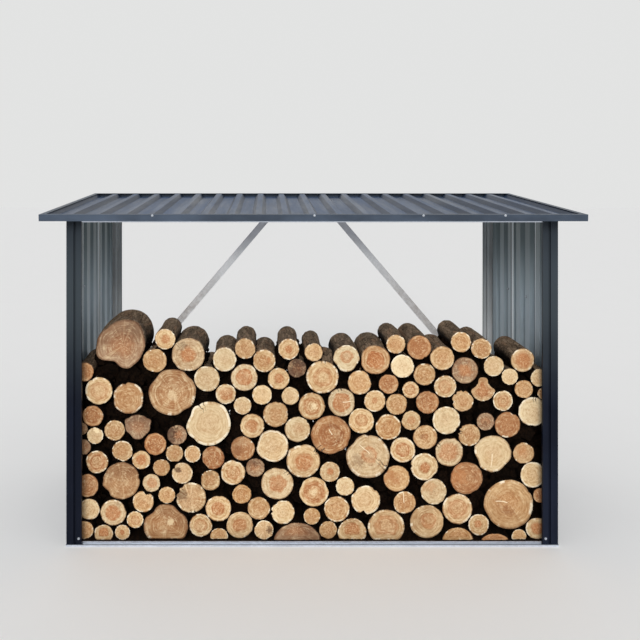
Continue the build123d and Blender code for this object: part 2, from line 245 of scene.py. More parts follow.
class LogLooks(bpy.types.PropertyGroup):
    sap_colour: swatch("Sapwood", "Common tan of a sawn end", 220, 183, 132)
    pale_colour: swatch("Pale wood", "Cream of the palest ends", 243, 222, 180)
    heart_colour: swatch("Heartwood", "Orange brown at the middle of an end", 190, 126, 76)
    weathered_colour: swatch(
        "Weathered wood", "Grey brown of ends that have lain outside", 160, 130, 108)
    bark_colour: swatch("Bark", "Bark between its cracks", 132, 112, 92)
    # Painted shade: the share of light left in bark that faces no sky
    bark_shade_level: FloatProperty(
        name="Bark in shade", description="How much light is left in bark low in the stack",
        default=0.032, min=0, max=1)
    bark_thickness: FloatProperty(
        name="Bark thickness", description="Bark at a sawn end", default=0.0014,
        min=0.0005, max=0.01, unit="LENGTH")
    crookedness: FloatProperty(
        name="Crookedness", description="Bend at a log's middle, as a share of its radius",
        default=0.36, min=0, max=0.6)
    ring_spacing: FloatProperty(
        name="Ring spacing", description="From one growth ring to the next", default=0.0042,
        min=0.002, max=0.01, unit="LENGTH")
    seed: IntProperty(
        name="Seed", description="Changes how the logs differ from each other", default=5,
        min=0)


class StageLooks(bpy.types.PropertyGroup):
    floor_colour: FloatVectorProperty(
        name="Floor", description="Pale studio floor", subtype="COLOR",
        default=(0.88, 0.88, 0.88), min=0, max=1)
    sun_strength: FloatProperty(
        name="Key light", description="Soft light from the front and above", default=1.9,
        min=0, max=10)
    sky_strength: FloatProperty(
        name="Sky", description="Even light from all round", default=0.62, min=0, max=2)


# Finishes

def coated_steel(name, colour, streak, gloss, paler_upwards=0.0, reverse=None, shine=0.25):
    """Coated sheet: a faint orange peel, dust, and runs down the way that water takes. It may
    be paler higher up, and then has painted shade of the eaves at its top. reverse is a paler
    colour of its inner side."""
    sheet = Sheet(name)
    place = sheet.place()
    dust = sheet.noise(place, 2.6, 5.0, 0.6)
    runs = sheet.noise(sheet.stretch(place, *streak), 9.0, 4.0, 0.65)
    peel = sheet.noise(place, 900.0, 1.0)
    cover = sheet.span(dust * 0.55 + runs * 0.45, 0.38, 0.68)
    dark = shaded(colour, 0.8)
    paint = sheet.mix(cover, dark, shaded(colour, 1.6))
    if paler_upwards:
        # Paler from 0.7 m to 1.2 m up
        height = sheet.parts(place)[2]
        high = sheet.span(height + dust * 0.2, 0.70, 1.22)
        paint = sheet.mix(high * paler_upwards, paint, from_screen(74, 83, 88))
        # Painted shade of the eaves: darker again from 1.2 m up
        paint = sheet.mix(sheet.span(height, 1.20, 1.50) * 0.45, paint, dark)
    if reverse:
        inner = sheet.parts(sheet.normal())[1] * sheet.parts(place)[1] < -0.1
        paint = sheet.mix(inner, paint, sheet.mix(cover, shaded(reverse, 0.7), reverse))
    rough = sheet.span(runs * 0.5 + dust * 0.5, 0.3, 0.7, gloss - 0.06, gloss + 0.12)
    return sheet.finish(
        Base_Color=paint, Roughness=rough, Specular_IOR_Level=shine,
        Normal=sheet.bump(peel, 0.0002, 0.35))


def lined_sheet(name, outer, inner, facing, streak, gloss, shaded_below=0.0, seams=()):
    """Ribbed sheet: coated on its weather side, with a thin pale coat on the other. facing
    gives how far a surface faces the weather. The pale side may have painted shade up to a
    height and painted shade towards the top, and painted lap edges at the depths that seams
    gives: a highlight with a shadow behind it. A roof's rib sides have painted shade."""
    sheet = Sheet(name)
    place = sheet.place()
    normal = sheet.normal()
    outside = facing(sheet, place, normal) > 0
    dust = sheet.noise(place, 2.2, 5.0, 0.6)
    runs = sheet.noise(sheet.stretch(place, *streak), 11.0, 4.0, 0.65)
    fine = sheet.noise(sheet.stretch(place, *streak), 90.0, 2.0, 0.6)
    peel = sheet.noise(place, 900.0, 1.0)
    cover = sheet.span(dust * 0.45 + runs * 0.35 + fine * 0.2, 0.36, 0.66)
    weather = sheet.mix(cover, shaded(outer, 0.78), shaded(outer, 1.5))
    lining = sheet.mix(cover, shaded(inner, 0.82), shaded(inner, 1.12))
    if shaded_below:
        height = sheet.parts(place)[2]
        # Painted shade on the lining low down, where it lies behind the logs
        low_painted_shade = sheet.span(height + dust * 0.08, shaded_below, shaded_below - 0.12)
        lining = sheet.mix(low_painted_shade * 0.9, lining, from_screen(38, 33, 29))
        # Painted shade under the roof: the lining darker towards the top
        eaves_shade = sheet.span(height + dust * 0.1, 1.00, 1.48)
        lining = sheet.mix(eaves_shade * 0.85, lining, from_screen(84, 95, 96))
    else:
        # Painted shade on the steep sides of the roof's ribs
        painted_rib_shade = abs(sheet.parts(normal)[0]) > 0.3
        weather = sheet.mix(painted_rib_shade * 0.5, weather, from_screen(14, 18, 26))
    # Painted lap edges: a painted highlight along each sheet edge and a painted shadow behind it
    for seam in seams:
        onward = sheet.parts(place)[1] - seam
        lap_shadow = sheet.span(onward, 0.026, 0.010) * (onward > 0.0)
        lining = sheet.mix(lap_shadow * 0.6, lining, from_screen(24, 28, 34))
        edge = abs(onward + 0.004) < 0.004
        lining = sheet.mix(edge * 0.7, lining, from_screen(236, 242, 246))
    rough = sheet.span(runs, 0.3, 0.7, gloss - 0.05, gloss + 0.12)
    return sheet.finish(
        Base_Color=sheet.mix(outside, lining, weather), Roughness=rough,
        Specular_IOR_Level=0.22, Normal=sheet.bump(peel, 0.0002, 0.3))


def facing_up(sheet, place, normal):
    """A roof's weather side."""
    return sheet.parts(normal)[2]


def facing_out(sheet, place, normal):
    """A side wall's weather side."""
    return sheet.parts(normal)[0] * sheet.parts(place)[0]


SKIN = 0.0005           # depth within which a point counts as on an outer face
TRACK_FLOOR = 0.0045    # height up to which the floor track has painted shade
TRACK_HEM = 0.0085      # height of the painted shade line along the hem of the track's outer lips


def galvanised_steel(name, colour, spangle, outer, roof_shade_from=2.0):
    """Zinc: crystals that catch the light a little differently, white bloom and fine scratches.
    Painted shade lies low in the track, within its outer faces, given as right, front and rear,
    and along the hems of its outer lips. Painted shade of the roof darkens the zinc from a
    height upwards."""
    sheet = Sheet(name)
    place = sheet.place()
    bend = sheet.noise(place, 60.0, 2.0, output="Color")
    warped = sheet.vectors("ADD", place, sheet.stretch(bend, 0.01, 0.01, 0.01))
    sockets = {"Vector": warped, "Scale": 1 / spangle}
    crystal = sheet.add("ShaderNodeTexVoronoi", {}, sockets, output="Color")
    shade = sheet.parts(crystal)[0]
    bloom = sheet.noise(place, 5.0, 5.0, 0.6)
    tone = sheet.span(shade * 0.22 + bloom * 0.78, 0.25, 0.75)
    zinc = sheet.mix(tone, shaded(colour, 0.86), shaded(colour, 1.08))
    x, y, z = sheet.parts(place)
    right, front, rear = outer
    within = (y > front + SKIN) * (y < rear - SKIN)
    # Painted shade in the floor of the track
    lies = (z < TRACK_FLOOR) * within * (abs(x) < right - SKIN)
    patchy_shade = sheet.span(bloom, 0.2, 0.6, 0.4, 0.7)
    zinc = sheet.mix(lies * patchy_shade, zinc, from_screen(172, 178, 184))
    # Painted shade in the fold of the outer lips' hem
    hem_shade = (abs(z - TRACK_HEM) < 0.0015) * (1 - within)
    zinc = sheet.mix(hem_shade * 0.9, zinc, from_screen(76, 84, 96))
    # Painted shade of the roof: the zinc darker from a height upwards
    roof_shade = sheet.span(z, roof_shade_from, roof_shade_from + 0.2)
    zinc = sheet.mix(roof_shade * 0.8, zinc, from_screen(150, 152, 162))
    scratches = sheet.noise(place, 420.0, 2.0)
    rough = sheet.span(shade * 0.6 + scratches * 0.4, 0.2, 0.8, 0.34, 0.48)
    return sheet.finish(
        Base_Color=zinc, Roughness=rough, Metallic=0.7,
        Normal=sheet.bump(shade + scratches * 0.4, 0.0001, 0.3))


def screw_steel(name, colour):
    """Bright zinc-plated screw heads, a little dulled."""
    sheet = Sheet(name)
    dull = sheet.noise(sheet.place(), 300.0)
    tone = sheet.mix(dull, shaded(colour, 0.75), shaded(colour, 1.15))
    rough = sheet.span(dull, 0.3, 0.7, 0.22, 0.4)
    return sheet.finish(Base_Color=tone, Roughness=rough, Metallic=0.7)


def washer_rubber(name):
    """The grey sealing washer under a screw's head."""
    sheet = Sheet(name)
    grit = sheet.noise(sheet.place(), 700.0)
    tone = sheet.mix(grit, from_screen(84, 87, 92), from_screen(122, 125, 130))
    return sheet.finish(Base_Color=tone, Roughness=0.8, Normal=sheet.bump(grit, 0.0002, 0.5))


def end_grain(name, looks):
    """Sawn end of a log: rings that follow its outline, heartwood, rays, cracks and stains."""
    sheet = Sheet(name)
    spot = sheet.kept("end_place", "Vector")
    rim = sheet.kept("rim")
    growth = sheet.kept("growth")
    sap = sheet.kept("sap", "Color")
    heart = sheet.kept("heart", "Color")
    heart_size, softness, ring_depth = sheet.parts(sheet.kept("marks", "Vector"))
    pale_centre, ray_depth, specks = sheet.parts(sheet.kept("traits", "Vector"))
    turn, star = sheet.parts(sheet.kept("chances", "Vector"))[:2]
    lit, worn, stain = sheet.parts(sheet.kept("edges", "Vector"))
    across, up, own = sheet.parts(spot)
    angle = sheet.add("ShaderNodeMath", {"operation": "ARCTAN2"}, {0: up, 1: across})
    flat = sheet.stretch(spot, 1, 1, 0)
    reach = sheet.vectors("LENGTH", flat, output="Value")
    darker = sheet.darker
    pale_wood = looks.pale_colour

    def sine(value):
        return sheet.add("ShaderNodeMath", {"operation": "SINE"}, {0: value})

    def along(line):
        """How far a point is along a line from the pith, how far beside it, and the line's size."""
        cosine, sine_part, size = sheet.parts(sheet.kept(line, "Vector"))
        return across * cosine + up * sine_part, up * cosine - across * sine_part, size

    # Broad wandering for shapes, and a finer ripple for edges
    wander = sheet.noise(spot, 24.0, 3.0, 0.55) - 0.5
    ripple = sheet.noise(spot, 105.0, 3.0, 0.6) - 0.5

    # Heartwood, round or star shaped, and sometimes paler again at its middle
    outwards = sheet.vectors("NORMALIZE", flat)
    fan = sheet.vectors("ADD", sheet.stretch(outwards, 1.7, 1.7, 0), spot)
    rays = sheet.noise(fan, 3.4, 5.0, 0.72)
    jagged = sine(angle * 5 + turn + wander * 9) * 0.3 + (rays - 0.5) * 2.2
    lobed = rim + wander * 0.34 + ripple * 0.12 + jagged * star
    core = sheet.span((lobed - heart_size) / softness, -1.0, 1.0, 1.0, 0.0)
    base = sheet.mix(core, sap, heart)
    middle = sheet.span(lobed / (heart_size + 0.01), 0.25, 0.85, 1.0, 0.0)
    base = sheet.mix(middle * pale_centre, base, sap)
    collar = abs(lobed - heart_size) / softness
    base = darker(sheet.span(collar, 0.0, 1.3, 0.45, 0.0) * ring_depth, (0.74, 0.55, 0.38), base)

    # Growth rings, a few of them broader, and rays from the pith
    ringed = growth + wander * 0.012 + ripple * 0.0022
    late = sheet.span(sine(ringed * (TAU / looks.ring_spacing)), 0.0, 1.0)
    bands = sheet.add("ShaderNodeCombineXYZ", {}, {0: ringed, 1: own, 2: wander * 0.006})
    broad = sheet.span(sheet.noise(bands, 125.0, 2.0, 0.6), 0.44, 0.64)
    shown = sheet.span(sheet.noise(spot, 19.0, 2.0), 0.34, 0.60, 0.35, 1.0)
    base = darker((late * 0.22 + broad * 0.80) * shown * ring_depth, (0.70, 0.53, 0.37), base)
    base = sheet.mix(sheet.span(rays, 0.52, 0.68) * ray_depth * 1.2, base, pale_wood)
    base = darker(sheet.span(rays, 0.48, 0.34) * ray_depth * 1.2, (0.68, 0.48, 0.31), base)

    # Soft patches, a darker side (a stain on most logs, painted shade on one that lies in a gap), and
    # dark specks
    patches = sheet.noise(spot, 13.0, 4.0, 0.6)
    base = darker(sheet.span(patches, 0.46, 0.72) * 0.55, (0.86, 0.74, 0.60), base)
    base = sheet.mix(sheet.span(patches, 0.45, 0.28) * 0.30, base, pale_wood)
    onward, _, amount = along("shade")
    shadow = sheet.span(onward + wander * 0.03, -0.012, 0.045) * amount
    base = darker(shadow, (0.52, 0.42, 0.36), base)
    soiled = sheet.span(sheet.noise(spot, 34.0, 5.0, 0.7) + stain * 0.22, 0.58, 0.86)
    base = darker(soiled * 0.55, (0.62, 0.50, 0.40), base)
    grit = sheet.noise(spot, 150.0, 3.0, 0.7)
    spotted = sheet.span(grit + specks * 0.10, 0.66, 0.74) * sheet.span(rim, 0.25, 0.85)
    base = darker(spotted * specks, (0.20, 0.15, 0.12), base)

    # A mottle that follows the rings, and a little of one that doesn't
    rising = sheet.add("ShaderNodeCombineXYZ", {}, {2: ringed + own})
    around = sheet.vectors("ADD", sheet.stretch(outwards, 0.015, 0.015, 0), rising)
    mottle = sheet.noise(around, 135.0, 2.0, 0.6) * 0.8 + sheet.noise(spot, 190.0, 4.0, 0.75) * 0.2
    clear = ring_depth * 0.5 + 0.35
    base = darker(sheet.span(mottle, 0.48, 0.62) * clear, (0.68, 0.52, 0.37), base)
    base = sheet.mix(sheet.span(mottle, 0.47, 0.34) * clear * 0.6, base, pale_wood)

    # A patch of its own: dark, pale or orange
    patch_across, patch_up, patch_size = sheet.parts(sheet.kept("patch", "Vector"))
    dark, pale, orange = sheet.parts(sheet.kept("patch_tones", "Vector"))
    off = ((across - patch_across) ** 2 + (up - patch_up) ** 2) ** 0.5
    torn = wander * 3.2 + ripple * 2.6 + (rays - 0.5) * 1.2
    inside = sheet.span(off / (patch_size + 0.00001) + torn, 1.35, 0.45)
    base = sheet.mix(inside * orange * 0.7, base, looks.heart_colour)
    base = sheet.mix(inside * pale, base, pale_wood)
    base = darker(inside * dark, (0.26, 0.20, 0.16), base)

    # The edge: here and there a pale cut rim, part pale wood and part painted highlight; elsewhere a
    # browned one
    edge = rim + ripple * 0.10
    patchy = sheet.noise(fan, 1.3, 3.0, 0.6)
    pale_rim_highlight = sheet.span(edge, 0.86, 0.93) * sheet.span(patchy + lit * 0.32, 0.54, 0.68)
    base = sheet.mix(pale_rim_highlight * 0.85, base, from_screen(250, 238, 212))
    brown_rim = sheet.span(edge, 0.90, 1.0) * sheet.span(patchy - worn * 0.4, 0.50, 0.30)
    base = darker(brown_rim * 0.85, (0.42, 0.31, 0.24), base)

    # Cracks: a pale split from the pith, dark checks from the edge, and drying cracks between
    onward, beside, length = along("split")
    open_split = sheet.span(abs(beside + wander * 0.012), 0.0030, 0.0008) * (onward > 0.0)
    open_split = open_split * sheet.span(onward / (length + 0.0001), 1.05, 0.85)
    base = sheet.mix(open_split * 0.85, base, from_screen(250, 234, 200))
    onward, beside, depth = along("checks")
    gape = (rim - 1.0 + depth + ripple * 0.25) / (depth + 0.001)
    twin = abs(abs(beside / onward + wander * 0.9) - 0.15) * onward
    wide = gape * 0.0030 + 0.0002
    check = sheet.span(twin / wide, 1.3, 0.7) * (onward > 0.001) * (gape > 0.0)
    base = sheet.mix(check * 0.85, base, from_screen(44, 28, 20))
    bent = angle + turn + wander * 1.4 + ripple * 0.8
    spoke = abs(sine(bent * 2.5)) * reach * 0.4
    dry = sheet.span(spoke, 0.0009, 0.0003) * sheet.span(sheet.noise(fan, 5.0, 2.0), 0.52, 0.60)
    dry = dry * (rim < 0.8) * ray_depth
    base = darker(dry * 0.8, (0.36, 0.24, 0.17), base)
    pith = sheet.span(reach, 0.0010, 0.0036, 1.0, 0.0)
    base = darker(pith * 0.6, (0.52, 0.36, 0.24), base)

    # Saw marks and torn fibres
    saw = sine((across * 0.86 + up * 0.5) * 2600 + wander * 5)
    fibre = sheet.noise(spot, 600.0, 3.0, 0.7)
    base = darker(sheet.span(fibre, 0.3, 0.75) * 0.18, (0.66, 0.56, 0.47), base)
    height = late * -0.25 * ring_depth + saw * 0.12 + fibre * 0.5 - (check + dry * 0.5) * 2.5
    return sheet.finish(
        Base_Color=base, Roughness=sheet.span(fibre, 0.2, 0.8, 0.72, 0.92),
        Normal=sheet.bump(height, 0.0007, 0.45))


def log_bark(name, colour, shade_level):
    """Scaly bark with cracks along the log, with painted light where it faces the sky and
    painted shade between the logs.
    """
    sheet = Sheet(name)
    place = sheet.place()
    sky_light = sheet.span(sheet.kept("open") + sheet.noise(place, 30.0) * 0.3, 0.25, 0.75)
    bend = sheet.noise(place, 60.0, output="Color")
    bent = sheet.vectors(
        "ADD", sheet.stretch(place, 1, 0.22, 1), sheet.stretch(bend, 0.02, 0.02, 0.02))
    plates = {"Vector": bent, "Scale": 70.0}
    edges = sheet.add("ShaderNodeTexVoronoi", {"feature": "DISTANCE_TO_EDGE"}, plates)
    cell = sheet.parts(sheet.add("ShaderNodeTexVoronoi", {}, plates, output="Color"))[0]
    grain = sheet.noise(sheet.stretch(place, 1, 0.4, 1), 260.0, 5.0, 0.7)
    split = sheet.span(edges + (grain - 0.5) * 0.10, 0.0, 0.08)
    patch = sheet.noise(place, 14.0, 4.0, 0.6)
    lit = sheet.span(patch * 0.5 + cell * 0.5, 0.2, 0.75)
    tone = sheet.mix(lit, shaded(colour, 0.62), shaded(colour, 1.35))
    tone = sheet.mix(sheet.span(cell, 0.7, 1.0) * 0.5, tone, from_screen(120, 84, 60))
    tone = sheet.darker(sheet.span(grain, 0.35, 0.75) * 0.5, (0.5, 0.45, 0.4), tone)
    tone = sheet.mix(split, from_screen(50, 39, 31), tone)
    # Painted shade: bark that faces no sky is darkened to the shade level; painted light keeps it
    # where it faces up
    tone = sheet.darker(1 - sky_light, (shade_level * 1.2, shade_level * 0.85, shade_level * 0.6), tone)
    return sheet.finish(
        Base_Color=tone, Roughness=0.9, Specular_IOR_Level=0.08,
        Normal=sheet.bump(split * 0.8 + grain * 0.6, 0.0022, 0.8))


# Mesh helpers

def new_piece(name, points, faces, materials, face_materials=None, smooth=True):
    """A mesh object in the store's frame."""
    mesh = bpy.data.meshes.new(name)
    mesh.from_pydata(points, [], faces)
    for material in materials:
        mesh.materials.append(material)
    if face_materials:
        mesh.polygons.foreach_set("material_index", face_materials)
    mesh.polygons.foreach_set("use_smooth", [smooth] * len(mesh.polygons))
    mesh.update()
    piece = bpy.data.objects.new(name, mesh)
    bpy.context.scene.collection.objects.link(piece)
    return piece


def keep(piece, name, kind, values):
    """Keeps a value for each point of a mesh, for its material to read."""
    attribute = piece.data.attributes.new(name, kind, "POINT")
    field = {"FLOAT": "value", "FLOAT_VECTOR": "vector", "FLOAT_COLOR": "color"}[kind]
    flat = values if kind == "FLOAT" else [number for value in values for number in value]
    attribute.data.foreach_set(field, flat)


def named(*starts):
    """The CAD nodes whose names start so."""
    return [name for name in NODES if name.startswith(starts)]


def wear(names, material):
    """Gives CAD nodes a finish."""
    for name in names:
        if name not in NODES:
            raise RuntimeError(f"the store has no part named {name}")
        slots = NODES[name].data.materials
        if len(slots):
            slots[0] = material
        else:
            slots.append(material)


# Logs

SPOKES = 64                                     # points round a log
END_RINGS = (1.0, 0.9, 0.7, 0.48, 0.26, 0.1)    # rings of a sawn end, as shares of its radius
STATIONS = 9                                    # rings along a log
GROUND = 0.0003                                 # lowest that a log, crumb or flake reaches
SHORT_COURSES_FROM = 13                         # courses of short logs, which are straighter
CLEAR_OF_WALL = 0.0006                          # nearest that a log or flake comes to a wall
NEAR_WALL = 0.015                               # a log this near to a wall bends away from it
NEAR_GROUND = 0.004                             # and one this near to the ground upwards
WAVES = 6                                       # in a log's outline, each of its own kind:
WAVE_BEATS = (3, 19)                            # fewest and most round the log
WAVE_HEIGHTS = (0.0001, 0.0008)                 # least and most
DENT_REACH = 0.16                               # how far back a dent in a log's front end goes
LIP = 0.0006                                    # steps of the bark's rounded edge at an end
BARK_EDGE = 0.0018                              # from a sawn end to where the barked side begins
WOOD, BARK = 0, 1                               # a log's two finishes


def inner_wall():
    """How far from the middle of the store the wall sheets let a piece reach."""
    return min(abs(corner.x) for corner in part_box("wall_right_middle_sheet")) - CLEAR_OF_WALL


def course_islands(node):
    """Each log of a CAD course as its front outline, its front and its rear depth."""
    shape = bmesh.new()
    shape.from_mesh(node.data)
    bmesh.ops.remove_doubles(shape, verts=shape.verts, dist=1e-5)
    left = set(shape.verts)
    logs = []
    while left:
        island = []
        ahead = [left.pop()]
        while ahead:
            vert = ahead.pop()
            island.append(vert.co.copy())
            for edge in vert.link_edges:
                other = edge.other_vert(vert)
                if other in left:
                    left.remove(other)
                    ahead.append(other)
        front = min(point.y for point in island)
        rear = max(point.y for point in island)
        outline = [(point.x, point.z) for point in island if point.y - front < 1e-4]
        middle = (sum(x for x, z in outline) / len(outline), sum(z for x, z in outline) / len(outline))
        outline.sort(key=lambda spot: math.atan2(spot[1] - middle[1], spot[0] - middle[0]))
        logs.append((middle[0], outline, front, rear))
    shape.free()
    return [log[1:] for log in sorted(logs)]


def log_courses():
    """The CAD courses, from the ground course up, as names with their logs."""
    names = sorted(named("log_course"))
    if not names:
        raise RuntimeError("the packed store has no log courses")
    return {name: course_islands(NODES[name]) for name in names}


def measures(outline):
    """An outline's middle across, its middle up, and half its width."""
    across = [x for x, z in outline]
    up = [z for x, z in outline]
    half = (max(across) - min(across)) / 2
    return (max(across) + min(across)) / 2, (max(up) + min(up)) / 2, half


def rounded(outline):
    """A log's smooth outline: arcs through the corners of its solid, and its sawn flat kept."""
    radius = measures(outline)[2]
    line = []
    for (x0, z0), (x1, z1) in zip(outline, outline[1:] + outline[:1]):
        length = math.hypot(x1 - x0, z1 - z0)
        flat = z0 < 1e-4 and z1 < 1e-4
        bulge = 0.0 if flat or length > 0.8 * radius else length ** 2 / (8 * radius)
        count = max(6, math.ceil(length / 0.006))
        for step in range(count):
            t = step / count
            lift = 4 * bulge * t * (1 - t) / length
            line.append((x0 + (x1 - x0) * t + (z1 - z0) * lift,
                         z0 + (z1 - z0) * t - (x1 - x0) * lift))
    for turn in range(3):
        line = [((x0 + 2 * x + x1) / 4, (z0 + 2 * z + z1) / 4) for (x0, z0), (x, z), (x1, z1)
                in zip(line[-1:] + line[:-1], line, line[1:] + line[:1])]
    return line


def spokes(line, pith, count):
    """Distances from the pith to a closed line, in evenly spread directions."""
    polar = sorted(
        (math.atan2(z - pith[1], x - pith[0]) % TAU, math.hypot(x - pith[0], z - pith[1]))
        for x, z in line)
    angles = [angle for angle, reach in polar]
    reaches = [reach for angle, reach in polar]
    angles = [angles[-1] - TAU] + angles + [angles[0] + TAU]
    reaches = [reaches[-1]] + reaches + [reaches[0]]
    result = []
    place = 0
    for index in range(count):
        angle = TAU * index / count
        while angles[place + 1] < angle:
            place += 1
        gap = angles[place + 1] - angles[place]
        share = (angle - angles[place]) / gap if gap > 1e-9 else 0.0
        result.append(reaches[place] + (reaches[place + 1] - reaches[place]) * share)
    return result


# Kinds of sawn end, each with a number for every trait: shares of the pale, heart and weathered
# colours in its sapwood, the heart's strength, size and softness, then how deep its rings show,
# how pale its centre is, and its rays and dark specks
TRAITS = ("pale", "brown", "grey", "strength", "size", "softness", "rings", "centre", "rays",
          "specks")
KINDS = {
    "P": (0.15, 0.10, 0.00, 0.30, 0.48, 0.24, 0.8, 0.0, 0.25, 0.0),
    "C": (0.80, 0.00, 0.00, 0.16, 0.42, 0.26, 0.5, 0.0, 0.25, 0.0),
    "H": (0.45, 0.00, 0.00, 0.80, 0.54, 0.09, 0.7, 0.0, 0.20, 0.0),
    "h": (0.40, 0.03, 0.00, 0.85, 0.34, 0.07, 0.7, 0.0, 0.20, 0.0),
    "R": (0.45, 0.03, 0.00, 0.55, 0.60, 0.07, 1.0, 0.5, 0.15, 0.0),
    "O": (0.00, 0.55, 0.05, 0.55, 0.55, 0.30, 0.9, 0.1, 0.20, 0.0),
    "G": (0.00, 0.15, 0.70, 0.45, 0.48, 0.30, 0.6, 0.1, 0.40, 0.0),
    "B": (0.05, 0.22, 0.25, 0.20, 0.60, 0.28, 0.9, 0.6, 0.35, 0.0),
    "W": (0.85, 0.00, 0.22, 0.85, 0.58, 0.06, 0.5, 0.1, 0.45, 0.35),
    "S": (0.60, 0.05, 0.00, 0.30, 0.50, 0.20, 0.5, 0.0, 0.40, 1.0),
    "K": (0.55, 0.05, 0.00, 0.30, 0.70, 0.20, 0.5, 0.0, 1.00, 0.5),
}

# The kinds of each course, from left to right, from the ground course up
COURSE_KINDS = (
    "PHhBPKGHRRPOPH", "WRRHCPPRh", "CPKHPPRPP", "OBPWCCPO", "WPSPRGhCPO", "GRHPOOHhCC",
    "CPOPCWRWP", "GPGGCHCOPPO", "OPRPhCGC", "BHCRWhPRP", "RPCCROPOP", "PCWhRPOPRCCC",
    "OWPGHCPGH", "GHCPhPhPOPP",
)

